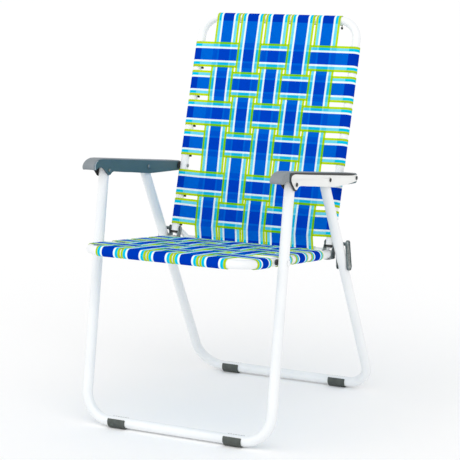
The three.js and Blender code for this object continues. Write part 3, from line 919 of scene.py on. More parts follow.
# Blackened spring steel for the clips that hold the webs: a dull green black.
SPRING_STEEL = HardFinish(
    "blackened_spring_steel", "#2E3A30", "#1D241F", (0.35, 0.5), 0.8, 0.02, metallic=0.4
)
# Woven polypropylene tape: matt cloth in blue, white, cyan and lime that glows a little where
# daylight comes through it.
WEBBING = Webbing()


class Finishes:
    """The chair's materials, each made once and shared by its pieces."""

    def __init__(self) -> None:
        """Starts with nothing made."""
        self.made: dict[str, bpy.types.Material] = {}

    def get(self, finish: Finish) -> bpy.types.Material:
        """Makes a finish's material the first time that it is asked for.

        Args:
            finish: the finish.

        Returns:
            Its material.
        """
        if finish.name not in self.made:
            self.made[finish.name] = finish.build()
        return self.made[finish.name]


def add_object(name: str, data: bpy.types.ID) -> bpy.types.Object:
    """Puts a mesh, lamp or camera in the scene.

    Args:
        name: the object's name.
        data: what it shows.

    Returns:
        The object.
    """
    made = bpy.data.objects.new(name, data)
    bpy.context.scene.collection.objects.link(made)
    return made


@dataclass(frozen=True)
class Maker:
    """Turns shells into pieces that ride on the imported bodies."""

    finishes: Finishes

    def piece(
        self,
        name: str,
        shell: Shell,
        body: str,
        finishes: Sequence[Finish],
        stands_for: Iterable[str] = (),
    ) -> None:
        """Makes one piece.

        Args:
            name: the piece's name.
            shell: its surfaces in mm.
            body: the body it moves with.
            finishes: its finishes, in the order of the shell's finish numbers.
            stands_for: the nodes it replaces.
        """
        made = add_object(name, shell.mesh(name))
        for finish in finishes:
            made.data.materials.append(self.finishes.get(finish))
        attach(made, body)
        nodes = list(stands_for)
        if nodes:
            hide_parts(*nodes)
        log.info("%s: %d faces on %s", name, len(made.data.polygons), body)

    def side_piece(
        self,
        side: Side,
        name: str,
        shell: Shell,
        body: str,
        finishes: Sequence[Finish],
        node: str,
    ) -> None:
        """Makes one piece of a pair in place of one node, both named for their side."""
        full_name = f"{side.label}_{name}"
        self.piece(full_name, shell, body, finishes, [f"{side.label}_{node}"])


# Sub-assemblies


@dataclass(frozen=True)
class TubeFrames:
    """The four bent tubes and the two cross bars."""

    leg_bend: float = 60.0
    back_bend: float = 44.0
    seat_bend: float = 56.0
    above_pivot: float = 7.0
    rear_bar_behind: float = 379.8
    rear_bar_radius: float = 8.0
    rear_bar_sunk: float = 1.0
    low_bar_radius: float = 6.5
    low_bar_bend: float = 8.0
    low_bar_below_hinge: float = 4.5
    low_bar_past_tube: float = 7.0
    outer_bend_x: float = 186.0
    inner_bend_x: float = 173.0

    def frame(
        self, x: float, start: SidePoint, run: SidePoint, radius: float, bend: float
    ) -> Shell:
        """A U shaped tube: two arms, and a cross run between them.

        Args:
            x: how far each arm is from the middle of the chair.
            start: the open ends in the side view.
            run: the cross run in the side view.
            radius: the tube's radius.
            bend: the radius of its two bends.

        Returns:
            The tube.
        """
        corners = [
            Vector((x, *start)),
            Vector((x, *run)),
            Vector((-x, *run)),
            Vector((-x, *start)),
        ]
        return tube_shell(bent_path(corners, bend), radius, CHAIR.tube_wall)

    def legs(self, pivot: SidePoint, foot: SidePoint) -> Shell:
        """A leg frame from just above its pivot down to the floor."""
        top = point_towards(pivot, foot, -self.above_pivot)
        return self.frame(CHAIR.leg_x, top, foot, CHAIR.leg_radius, self.leg_bend)

    def side_frame(self, start: SidePoint, run: SidePoint, bend: float) -> Shell:
        """The frame of the back or of the seat."""
        return self.frame(CHAIR.frame_x, start, run, CHAIR.frame_radius, bend)

    def rear_bar(self) -> Shell:
        """The seat's rear bar, between its side tubes.

        Returns:
            The bar.
        """
        place = CHAIR.on_seat(self.rear_bar_behind)
        reach = CHAIR.frame_x - CHAIR.frame_radius + self.rear_bar_sunk
        ends = [Vector((reach, *place)), Vector((-reach, *place))]
        path = bent_path(ends, radius=1)
        return tube_shell(path, self.rear_bar_radius, CHAIR.tube_wall, sides=32)

    def low_bar(self) -> Shell:
        """The bar behind the hinges, its ends against the rear of the back tubes.

        Returns:
            The bar.
        """
        behind = CHAIR.frame_radius + GAP + self.low_bar_radius
        end = CHAIR.on_back(-CHAIR.hinge_below_arm - self.low_bar_below_hinge, -behind)
        half = [
            Vector((CHAIR.frame_x + self.low_bar_past_tube, *end)),
            Vector((self.outer_bend_x, *end)),
            Vector((self.inner_bend_x, *CHAIR.low_bar)),
        ]
        mirrored = [Vector((-p.x, p.y, p.z)) for p in reversed(half)]
        path = bent_path([*half, *mirrored], self.low_bar_bend, steps=6)
        return tube_shell(path, self.low_bar_radius, CHAIR.tube_wall, sides=28)

    def build(self, maker: Maker) -> None:
        """Makes the tubes.

        Args:
            maker: what makes the pieces.
        """
        front = self.legs(CHAIR.front_leg_pivot, CHAIR.front_foot)
        rear = self.legs(CHAIR.rear_leg_pivot, CHAIR.rear_foot)
        low, top = CHAIR.on_back(CHAIR.back_tube_end), CHAIR.on_back(CHAIR.back_top)
        back = self.side_frame(low, top, self.back_bend)
        seat = self.side_frame(CHAIR.on_seat(CHAIR.seat_length), CHAIR.on_seat(0), self.seat_bend)
        for name, shell, body, node in (
            ("front_leg_tube", front, "front_legs", "front_leg_frame"),
            ("rear_leg_tube", rear, "rear_legs", "rear_leg_frame"),
            ("back_tube", back, "back", "back_frame"),
            ("seat_tube", seat, "seat", "seat_frame"),
            ("seat_rear_bar", self.rear_bar(), "seat", "seat_rear_crossbar"),
            ("back_low_bar", self.low_bar(), "back", "back_lower_crossbar"),
        ):
            maker.piece(name, shell, body, [POWDER_COAT], [node])


@dataclass(frozen=True)
class FootClips:
    """The ribbed plastic clips round the floor runs of the legs."""

    from_middle: float = 139.0
    length: float = 42.0
    outer_radius: float = 13.85
    inner_radius: float = 11.3
    half_opening: float = 52.0
    steps_round: int = 34
    ribs: int = 7
    steps_per_rib: int = 8
    groove: float = 0.55
    end_length: float = 1.0
    end_trim: float = 0.9
    sole_lift: float = 0.2

    def section(self, foot: SidePoint, x: float, trim: float) -> list[Vector]:
        """One C shaped ring, open at the top and flat where it stands on the floor.

        Args:
            foot: the axis of the tube in the side view.
            x: its distance from the middle of the chair.
            trim: how far its outside is drawn in.

        Returns:
            The ring.
        """
        start, end = 90 + self.half_opening, 450 - self.half_opening
        outside = arc(foot, self.outer_radius - trim, start, end, self.steps_round)
        inside = arc(foot, self.inner_radius, end, start, self.steps_round)
        ring = [Vector((x, y, max(z, trim * self.sole_lift))) for y, z in outside]
        return ring + [Vector((x, y, z)) for y, z in inside]

    def clip(self, side: Side, foot: SidePoint) -> Shell:
        """The clip, with grooves between its ribs and rounded ends.

        Args:
            side: the side of the chair it is on.
            foot: the axis of the tube in the side view.

        Returns:
            The clip.
        """
        rings = []
        steps = self.ribs * self.steps_per_rib
        for i in range(steps + 1):
            share = i / steps
            wave = math.cos(2 * math.pi * self.ribs * share)
            trim = self.groove * max(0.0, wave) ** 0.5
            from_end = min(i, steps - i) * self.length / steps
            trim += max(0.0, self.end_length - from_end) * self.end_trim
            x = side.value * self.from_middle + (share - 0.5) * self.length
            rings.append(self.section(foot, x, trim))
        return loft(rings)

    def build(self, maker: Maker) -> None:
        """Makes the four clips.

        Args:
            maker: what makes the pieces.
        """
        for side in Side:
            for end, foot in (("front", CHAIR.front_foot), ("rear", CHAIR.rear_foot)):
                maker.side_piece(
                    side,
                    f"{end}_foot_grip",
                    self.clip(side, foot),
                    f"{end}_legs",
                    [FOOT_VINYL],
                    f"{end}_foot_clip",
                )


@dataclass(frozen=True)
class Arms:
    """The armrests with their outer plates, rivets and washers.

    The shoulder, the skin and the dent that the hollow ends in are at most a share, named
    most, of the section's height. The lobe and the run are the two stretches where sections
    are drawn at even steps.
    """

    layer: Layer = (207.0, 235.0)
    plate_layer: Layer = (235.3, 236.8)
    rivet_outer: float = 239.2
    rivet_radius: float = 4.3
    rivet_head: float = 1.9
    washer_radius: float = 8.8
    skin: float = 2.2
    most_skin: float = 0.4
    wall: float = 2.6
    shoulder: float = 2.6
    most_shoulder: float = 0.48
    skirt_step: float = 0.7
    wall_points: int = 9
    bend_points: int = 6
    painted_shade_hollow_corner: float = 1.5
    least_hollow: float = 8.0
    painted_shade_hollow_to_pivot: float = 3.0
    dent: float = 0.6
    most_dent: float = 0.1
    dent_width: float = 0.9
    nose_front: float = -214.7
    lobe_start: float = -206.0
    lobe_step: float = 1.25
    lobe_stations: int = 53
    run_start: float = -138.0
    run_step: float = 6.0
    run_stations: int = 48
    front_wall: float = 3.3
    plate_front: float = -180.0
    corner_start: float = 4.4
    corner_end: float = 8.9
    top_from: float = -123.2
    top_height: float = 562.9
    top_fall: float = 0.1356
    tail_radius: float = 11.4
    tail_drop: float = 0.5
    plate_tail_radius: float = 7.3
    plate_lobe_radius: float = 10.6
    # The black lip that paints the shadow round the plate's front and top.
    border_lobe_radius: float = 13.6
    border_rear: float = 147.0
    border_sunk: float = 2.0
    border_proud: float = 0.2

    @property
    def tail(self) -> SidePoint:
        """The middle of the rounded rear end, a little below the back's pivot."""
        return (CHAIR.back_pivot[0], CHAIR.back_pivot[1] - self.tail_drop)

    def top(self, y: float, below: float = 0.0) -> SidePoint:
        """A point on the armrest's straight top, or some way below it."""
        return (y, self.top_height - self.top_fall * (y - self.top_from) - below)

    def top_line(self) -> list[SidePoint]:
        """Draws the upper edge in the side view.

        Returns:
            Its points, from the nose to the rear end.
        """
        nose = [(self.nose_front, 553.0), (-214.5, 557.3), (-212.8, 561.0), (-209.9, 563.6)]
        crown = [(-205.0, 566.4), (-199.8, 568.4), (-192.0, 569.9), (-184.7, 570.5)]
        straight_run = [self.top(-172.0), self.top(0.0)]
        return [*nose, *crown, *straight_run, *arc(self.tail, self.tail_radius, 82, 0, 8)]

    def low_line(self) -> list[SidePoint]:
        """Draws the lower edge in the side view.

        Returns:
            Its points, from the nose to the rear end.
        """
        nose = [(self.nose_front, 553.0), (-214.2, 549.8), (-212.5, 547.9), (-203.0, 547.8)]
        nose += [(-192.0, 551.5), (-179.0, 549.8), (-170.0, 543.5)]
        lobe = [(-162.5, 537.0), (-153.5, 529.8), (-146.5, 530.2), (-140.5, 533.8)]
        rear = [(-135.5, 536.3), (-130.0, 535.2), (-87.0, 528.4)]
        rear += [(-56.8, 524.2), (-18.5, 518.2), (12.5, 513.5), (34.5, 511.0)]
        return [*nose, *lobe, *rear, *arc(self.tail, self.tail_radius, -82, 0, 8)]

    def behind_nose(self, place: Vector) -> float:
        """Measures how far behind the nose's rounded front a point is.

        Args:
            place: the point.

        Returns:
            The distance from front to back.
        """
        line = self.top_line()
        for start, end in zip(line, line[1:]):
            if start[1] <= place.z < end[1]:
                share = (place.z - start[1]) / (end[1] - start[1])
                return place.y - start[0] - (end[0] - start[0]) * share
        return place.y - self.nose_front

    @staticmethod
    def height_at(line: Sequence[SidePoint], y: float) -> float:
        """Reads a height off a line that runs from front to back.

        Args:
            line: the line's points in the side view.
            y: the depth to read it at.

        Returns:
            The height.
        """
        for start, end in zip(line, line[1:]):
            if start[0] <= y <= end[0] and end[0] > start[0]:
                share = (y - start[0]) / (end[0] - start[0])
                return start[1] + (end[1] - start[1]) * share
        return line[-1][1]

    def stations(self) -> list[float]:
        """Lists the depths at which the armrest's section is drawn.

        Returns:
            The depths, close together where the outline bends.
        """
        nose = [self.nose_front + d for d in (0.05, 0.3, 0.8, 1.6, 2.8, 4.2, 6.0, 8.0, 10.0)]
        lobe = [self.lobe_start + self.lobe_step * i for i in range(self.lobe_stations)]
        run = [self.run_start + self.run_step * i for i in range(self.run_stations)]
        end = self.tail[0] + self.tail_radius
        tail = [end - d for d in (12.0, 9.0, 6.5, 4.5, 3.0, 1.8, 0.9, 0.3, 0.05)]
        return sorted(y for y in {*nose, *lobe, *run, *tail} if y < end)

    def arch(self, y: float, low: float, high: float) -> list[tuple[float, float]]:
        """The outside of the armrest's section: two skirts, two shoulders and the top.

        Args:
            y: the depth of the section.
            low: the height of its lower edge.
            high: the height of its top.

        Returns:
            (distance from the middle of the chair, height) pairs, from the outer side.
        """
        shoulder = min(self.shoulder, (high - low) * self.most_shoulder)
        step = min(self.skirt_step, max(y - self.nose_front, 0.0))
        points = []
        for x, direction in ((self.layer[1], 1), (self.layer[0], -1)):
            half = []
            for k in range(self.wall_points):
                share = k / (self.wall_points - 1)
                half.append((x - direction * step, low + (high - low - shoulder) * share))
            for k in range(1, self.bend_points + 1):
                turn = math.pi / 2 * k / self.bend_points
                inward, down = shoulder * (1 - math.cos(turn)), shoulder * (1 - math.sin(turn))
                half.append((x - direction * inward, high - down))
            points += half if direction > 0 else list(reversed(half))
        return points

    def painted_shade_hollow(self, y: float, low: float, high: float) -> list[tuple[float, float]]:
        """The inside of the armrest's section, which at both ends is only a shallow dent.

        Args:
            y: the depth of the section.
            low: the height of its lower edge.
            high: the height of its top.

        Returns:
            (distance from the middle of the chair, height) pairs, from the inner side.
        """
        tall = high - low
        ceiling = high - min(self.skin, tall * self.most_skin)
        corner = self.painted_shade_hollow_corner
        inner, outer = self.layer[0] + self.wall, self.layer[1] - self.wall
        points = [
            (inner, low),
            (inner, ceiling - corner),
            (inner + corner, ceiling),
            (outer - corner, ceiling),
            (outer, ceiling - corner),
            (outer, low),
        ]
        in_front_wall = y < self.nose_front + self.front_wall
        at_tail = y > CHAIR.back_pivot[0] - self.painted_shade_hollow_to_pivot
        if tall < self.least_hollow or in_front_wall or at_tail:
            middle = sum(self.layer) / 2
            floor = low + min(self.dent, tall * self.most_dent)
            points = [(middle + (x - middle) * self.dent_width, floor) for x, _ in points]
        return points

    def section(self, side: Side, y: float) -> list[Vector]:
        """The armrest's section at one depth: an arch with a hollow under it.

        Args:
            side: the side of the chair it is on.
            y: the depth.

        Returns:
            The closed ring.
        """
        high = self.height_at(self.top_line(), y)
        low = self.height_at(self.low_line(), y)
        points = self.arch(y, low, high) + self.painted_shade_hollow(y, low, high)
        return [Vector((side.value * x, y, z)) for x, z in points]

    def armrest(self, side: Side) -> Shell:
        """The grip, painted in light and shade: a top and front lighter as if lit, skirts darker as
        if in shade, a black hollow as deep shade and a pale corner as a highlight.

        Args:
            side: the side of the chair it is on.

        Returns:
            The grip.
        """
        stations = self.stations()
        rings = [self.section(side, y) for y in stations]
        outside = 2 * (self.wall_points + self.bend_points)

        def face_at(i: int, k: int) -> GripFace:
            """Says which part of the surface a face belongs to.

            Args:
                i: its station.
                k: its place round the section.

            Returns:
                The part.
            """
            if stations[i] < self.nose_front + self.front_wall:
                return GripFace.TOP
            # Faces inside the hollow are painted black, as the deep shade under the grip.
            if k >= outside - 1:
                return GripFace.PAINTED_SHADE_HOLLOW
            if k < self.wall_points - 1:
                return GripFace.SKIRT if stations[i] > self.plate_front else GripFace.TOP
            if k < outside - self.wall_points:
                return GripFace.TOP
            # Just behind the nose's front, the skirt takes a pale band: a painted highlight on the
            # rounded corner.
            behind = self.behind_nose(rings[i][k])
            if behind > self.corner_end:
                return GripFace.SKIRT
            return GripFace.CORNER if behind > self.corner_start else GripFace.TOP

        return loft(rings, lambda i, k: face_at(i, k).value)

    def plate(self, side: Side) -> Shell:
        """The white plate, pressed with a low rim round its edge.

        Args:
            side: the side of the chair it is on.

        Returns:
            The plate.
        """
        outline = rounded(
            [
                (-160.0, 563.0),
                (-124.0, 557.5),
                (-5.7, 541.2),
                (130.0, 522.5),
                *arc(CHAIR.back_pivot, self.plate_tail_radius, 75, -85, 8),
                (95.0, 506.4),
                (34.5, 511.3),
                (12.5, 513.8),
                (-18.5, 518.3),
                (-56.8, 524.4),
                (-87.0, 528.3),
                (-133.0, 535.6),
                (-142.5, 533.4),
                *arc(CHAIR.front_leg_pivot, self.plate_lobe_radius, -60, -150, 5),
                (-169.0, 544.0),
                (-174.5, 552.5),
                (-172.0, 560.0),
            ]
        )
        inner, outer = self.plate_layer
        back = [(0.8, inner), (0.1, inner + 0.4)]
        rim = [(0.0, outer - 0.4), (0.3, outer), (1.9, outer)]
        return pressed(outline, side, [*back, *rim, (2.8, outer - 0.55)])

    def border(self, side: Side) -> Shell:
        """A black lip that frames the plate's front and top, painting the shadow in the gap between
        the grip and the plate.

        Args:
            side: the side of the chair it is on.

        Returns:
            The lip.
        """
        outline = rounded(
            [
                (-170.0, 567.6),
                self.top(-124.0, 1.2),
                self.top(-5.7, 1.0),
                self.top(self.border_rear, 0.4),
                self.top(self.border_rear, 7.0),
                (-5.7, 539.0),
                (-124.0, 555.0),
                (-150.0, 552.0),
                *arc(CHAIR.front_leg_pivot, self.border_lobe_radius, -50, -150, 6),
                (-173.0, 544.0),
                (-179.0, 553.0),
                (-177.5, 562.5),
            ],
            1,
        )
        outer = self.layer[1]
        inner_face, outer_face = outer - self.border_sunk, outer + self.border_proud
        steps = [(0.3, inner_face), (0.0, outer - self.border_proud), (0.4, outer_face)]
        return pressed(outline, side, steps)

    def build(self, maker: Maker) -> None:
        """Makes both arms."""
        for side in Side:
            self.build_side(maker, side)

    def build_side(self, maker: Maker, side: Side) -> None:
        """Makes one arm.

        Args:
            maker: what makes the pieces.
            side: the side of the chair it is on.
        """
        body = f"{side.label}_arm"
        # The grip's finishes paint light and shade onto one plastic: a lit top, shaded skirts, a
        # black hollow and a highlight on the nose's corner.
        maker.side_piece(
            side,
            "arm_grip",
            self.armrest(side),
            body,
            [GRIP_TOP_PAINTED_LIT, GRIP_SKIRT_PAINTED_SHADE, BLACK_PLASTIC, GRIP_CORNER_PAINTED_HIGHLIGHT],
            "armrest",
        )
        # The black lip stands in for the shadow in the gap round the plate.
        border = f"{side.label}_arm_border"
        maker.piece(border, self.border(side), body, [BLACK_PLASTIC])
        plate, slot = self.plate(side), "white_arm_plate"
        maker.side_piece(side, "arm_side_plate", plate, body, [ENAMEL], "arm_plate")
        face = self.layer[0] - GAP
        for place, pivot, surface in (
            ("front_leg", CHAIR.front_leg_pivot, face),
            ("rear_leg", CHAIR.rear_leg_pivot, face),
            ("back", CHAIR.back_pivot, CHAIR.frame_inner_face),
        ):
            ends = (surface - self.rivet_head, self.rivet_outer)
            # Each rivet's outer head is painted nearly black, for the dark reflection it shows.
            maker.side_piece(
                side,
                f"{place}_pivot_rivet",
                rivet_shell(side, pivot, ends, self.rivet_radius, self.rivet_head),
                body,
                [ZINC, RIVET_HEAD_PAINTED_DARK_REFLECTION],
                f"{place}_rivet",
            )
        gap = (CHAIR.frame_outer_face, face)
        ring = washer(side, CHAIR.back_pivot, self.washer_radius, gap)
        finish, slot = [BLACK_PLASTIC], "black_plastic"
        maker.side_piece(side, "back_spacer", ring, body, finish, "back_washer")


@dataclass(frozen=True)
class SeatPivots:
    """The bolts and spacers between the front legs and the seat."""

    head: float = 2.2
    head_radius: float = 6.0
    spacer_radius: float = 6.5

    def build(self, maker: Maker) -> None:
        """Makes a bolt and a spacer on each side.

        Args:
            maker: what makes the pieces.
        """
        pivot = CHAIR.seat_pivot
        inner = CHAIR.frame_inner_face - self.head
        outer = CHAIR.leg_x + CHAIR.leg_radius + GAP + self.head
        gap = (CHAIR.frame_outer_face, CHAIR.leg_x - CHAIR.leg_radius - GAP)
        for side in Side:
            maker.side_piece(
                side,
                "seat_bolt",
                rivet_shell(side, pivot, (inner, outer), self.head_radius, self.head),
                "front_legs",
                [ZINC, POWDER_COAT],
                "seat_pivot_bolt",
            )
            maker.side_piece(
                side,
                "seat_spacer",
                washer(side, pivot, self.spacer_radius, gap),
                "front_legs",
                [BLACK_PLASTIC],
                "seat_pivot_spacer",
            )


@dataclass(frozen=True)
class Hinges:
    """The brackets, links, pins and tube caps where the seat, back and rear legs meet."""

    bracket_inner: Layer = (182.2, 184.2)
    bracket_outer: Layer = (203.8, 205.8)
    bracket_span: tuple[float, float] = (388.2, 407.2)
    bracket_top: float = 8.0
    ear_radius: float = 7.0
    ear_bottom: float = 2.5
    strap_rise: float = 3.2
    strap_wall: float = 2.0
    inner_link: Layer = (207.4, 209.4)
    inner_link_form: tuple[float, float] = (8.0, 6.0)
    outer_link: Layer = (232.6, 235.8)
    outer_link_form: tuple[float, float] = (8.8, 8.2)
    rib_form: tuple[float, float] = (3.4, 2.4)
    end_turn: float = 105.0
    link_rim: float = 2.2
    pin_radius: float = 3.0
    spacer_radius: float = 3.9
    head_radius: float = 5.5
    head: float = 1.8
    hinge_head: float = 0.9
    hinge_pin_past: Layer = (1.7, 1.2)
    cap_fit: float = 0.28
    cap_skirt: float = 2.6
    cap_sides: int = 36

    @staticmethod
    def seat_tube_bottom() -> float:
        """The height of the bracket's inside under the seat tube, from the tube's axis."""
        return -CHAIR.frame_radius - GAP

    def bracket(self, side: Side) -> Shell:
        """Two ears joined by a strap that cradles the end of the seat tube.

        Args:
            side: the side of the chair it is on.

        Returns:
            The bracket.
        """
        start, end = self.bracket_span
        low = self.seat_tube_bottom() + self.ear_bottom
        outline = [
            CHAIR.on_seat(start, low),
            CHAIR.on_seat(end, low),
            CHAIR.on_seat(end, self.bracket_top),
            *arc(CHAIR.hinge, self.ear_radius, 0, 180, 14),
            CHAIR.on_seat(start, self.bracket_top),
        ]
        shell = Shell()
        for near, far in (self.bracket_inner, self.bracket_outer):
            steps = [(0.5, near), (0.0, near + 0.5), (0.0, far - 0.5), (0.5, far)]
            shell.add(pressed(outline, side, steps))
        shell.add(self.cradle(side))
        return shell

    def cradle(self, side: Side) -> Shell:
        """The rounded strap under the tube, between the two ears.

        Args:
            side: the side of the chair it is on.

        Returns:
            The strap.
        """
        inner, outer = self.bracket_inner[0], self.bracket_outer[1]
        middle, half = (inner + outer) / 2, (outer - inner) / 2
        edge = self.seat_tube_bottom() + self.strap_rise
        wall = self.strap_wall
        steps = 16
        outside, inside = [], []
        for k in range(steps + 1):
            turn = math.pi * k / steps
            drop = math.sin(turn) ** 0.55
            outside.append((middle - half * math.cos(turn), edge - (self.strap_rise + wall) * drop))
            inside.append((middle - (half - wall) * math.cos(turn), edge - self.strap_rise * drop))
        section = outside + list(reversed(inside))
        rings = [
            [Vector((side.value * x, *CHAIR.on_seat(behind, above))) for x, above in section]
            for behind in self.bracket_span
        ]
        return loft(rings)

    def link_outline(self, end_radius: float, waist: float) -> list[SidePoint]:
        """A bone shaped outline between the hinge and the rear leg.

        Args:
            end_radius: the radius of its round ends.
            waist: how far its sides are from its middle, half way along.

        Returns:
            The outline.
        """
        top, low = CHAIR.hinge, CHAIR.link_pivot
        tilt = math.degrees(math.atan2(top[1] - low[1], top[0] - low[0]))
        middle = point_towards(low, top, math.dist(low, top) / 2)
        return [
            *arc(top, end_radius, tilt - self.end_turn, tilt + self.end_turn, 16),
            on_circle(middle, waist, tilt + 90),
            *arc(low, end_radius, tilt + 180 - self.end_turn, tilt + 180 + self.end_turn, 16),
            on_circle(middle, waist, tilt - 90),
        ]

    def inner_plate(self, side: Side) -> Shell:
        """The flat inner link.

        Args:
            side: the side of the chair it is on.

        Returns:
            The link.
        """
        near, far = self.inner_link
        steps = [(0.5, near), (0.0, near + 0.4), (0.0, far - 0.4), (0.5, far)]
        return pressed(self.link_outline(*self.inner_link_form), side, steps)

    def outer_plate(self, side: Side) -> Shell:
        """The outer link, pressed with a rim, a channel and a middle rib.

        Args:
            side: the side of the chair it is on.

        Returns:
            The link, whose rim and rib take the brighter zinc as a painted highlight.
        """
        near, far = self.outer_link
        rim = far + self.link_rim
        back, edge = [(0.7, near), (0.0, near + 0.7)], [(0.0, rim - 0.6), (0.5, rim), (1.5, rim)]
        plate_steps = [*back, *edge, (2.6, far - 1.5)]
        outline = self.link_outline(*self.outer_link_form)
        shell = pressed(outline, side, plate_steps, bright=(2, 3))
        rib_steps = [(0.0, far - 1.7), (0.4, rim - 1.0), (1.2, rim - 0.4)]
        rib_outline = self.link_outline(*self.rib_form)
        shell.add(pressed(rib_outline, side, rib_steps, bright=(0, 1)))
        return shell

    def top_pin(self, side: Side) -> Shell:
        """The pin at the top of the links, with its spacer between them and a domed head.

        Args:
            side: the side of the chair it is on.

        Returns:
            The pin.
        """
        start, end = self.inner_link[1] + GAP, self.outer_link[0] - GAP
        head = self.outer_link[1] + GAP
        profile = [
            (0.0, self.inner_link[0]),
            (self.pin_radius, self.inner_link[0]),
            (self.pin_radius, start),
            (self.spacer_radius, start),
            (self.spacer_radius, end),
            (self.pin_radius, end),
            (self.pin_radius, head),
            *dome(self.head_radius, head, self.head),
        ]
        return spun(profile, side, CHAIR.hinge)

    def hinge_rivet(self, side: Side) -> Shell:
        """The rivet through the bracket's ears and the back tube.

        Args:
            side: the side of the chair it is on.

        Returns:
            The rivet.
        """
        inner_past, outer_past = self.hinge_pin_past
        layer = (self.bracket_inner[0] - inner_past, self.bracket_outer[1] + outer_past)
        return rivet_shell(side, CHAIR.hinge, layer, self.head_radius, self.hinge_head)

    def low_rivet(self, side: Side) -> Shell:
        """The rivet through both links and the rear leg.

        Args:
            side: the side of the chair it is on.

        Returns:
            The rivet.
        """
        reach = GAP + self.head
        layer = (self.inner_link[0] - reach, self.outer_link[1] + reach)
        return rivet_shell(side, CHAIR.link_pivot, layer, self.head_radius, self.head)

    def cap(self, side: Side) -> Shell:
        """The cap on the low end of a back tube.

        Args:
            side: the side of the chair it is on.

        Returns:
            The cap.
        """
        skirt = CHAIR.frame_radius + self.cap_fit
        profile = [
            (skirt - 0.25, self.cap_skirt),
            (skirt, self.cap_skirt - 0.3),
            (skirt, -1.0),
            (CHAIR.frame_radius - 0.6, -1.8),
            (2.0, -2.0),
        ]
        rings = []
        for radius, up in profile:
            ring = []
            for angle in angles_round(self.cap_sides):
                place = CHAIR.on_back(CHAIR.back_tube_end + up, radius * math.sin(angle))
                x = side.value * CHAIR.frame_x + radius * math.cos(angle)
                ring.append(Vector((x, *place)))
            rings.append(ring)
        return loft(rings)

    def build(self, maker: Maker) -> None:
        """Makes both hinges and both tube caps.

        Args:
            maker: what makes the pieces.
        """
        # The brighter zinc is the second finish. It paints highlights on the outer link's rim and
        # rib, and the rivets' outer heads take it too.
        metal, plastic = [DULL_ZINC, ZINC], [BLACK_PLASTIC]
        for side in Side:
            links = f"{side.label}_links"
            for name, shell, body, node in (
                ("hinge_ears", self.bracket(side), "seat", "hinge_bracket"),
                ("hinge_rivet", self.hinge_rivet(side), "seat", "hinge_pin"),
                ("link_inner_plate", self.inner_plate(side), links, "inner_link"),
                ("link_outer_plate", self.outer_plate(side), links, "outer_link"),
                ("link_top_pin", self.top_pin(side), links, "link_pin"),
                ("link_low_rivet", self.low_rivet(side), links, "link_rivet"),
            ):
                maker.side_piece(side, name, shell, body, metal, node)
            cap, name, node = self.cap(side), "back_tube_plug", "back_tube_cap"
            maker.side_piece(side, name, cap, "back", plastic, node)


@dataclass(frozen=True)
class Bar:
    """A tube that a web wraps round: its place along the web, its height and its radius."""

    place: float
    height: float
    radius: float


@dataclass(frozen=True)
class Station:
    """A place on a web's centre line, with what lies behind the web there."""

    along: float
    height: float
    behind: float
    zone: Zone


def flat(along: float, across: float) -> float:
    """The depth of a web in its frame's plane, and the tuck of one whose tubes are straight."""
    return 0.0


def straight(along: float) -> float:
    """The sideways shift of a web that runs straight along its frame."""
    return 0.0


@dataclass(frozen=True)
class Web:
    """One web: where it runs, what crosses it, and the bars its ends wrap round.

    Its depth is how far it bows behind its frame's plane, its shift how far it leans to one
    side and its tuck how far it is drawn in where the tube at its end bends.
    """

    node: str
    origin: Vector
    run: Vector
    off: Vector
    across: Vector
    crossings: Sequence[float]
    first_over: bool
    start_bar: Bar
    end_bar: Bar
    depth: Depth = flat
    shift: Callable[[float], float] = straight
    tuck: Depth = flat


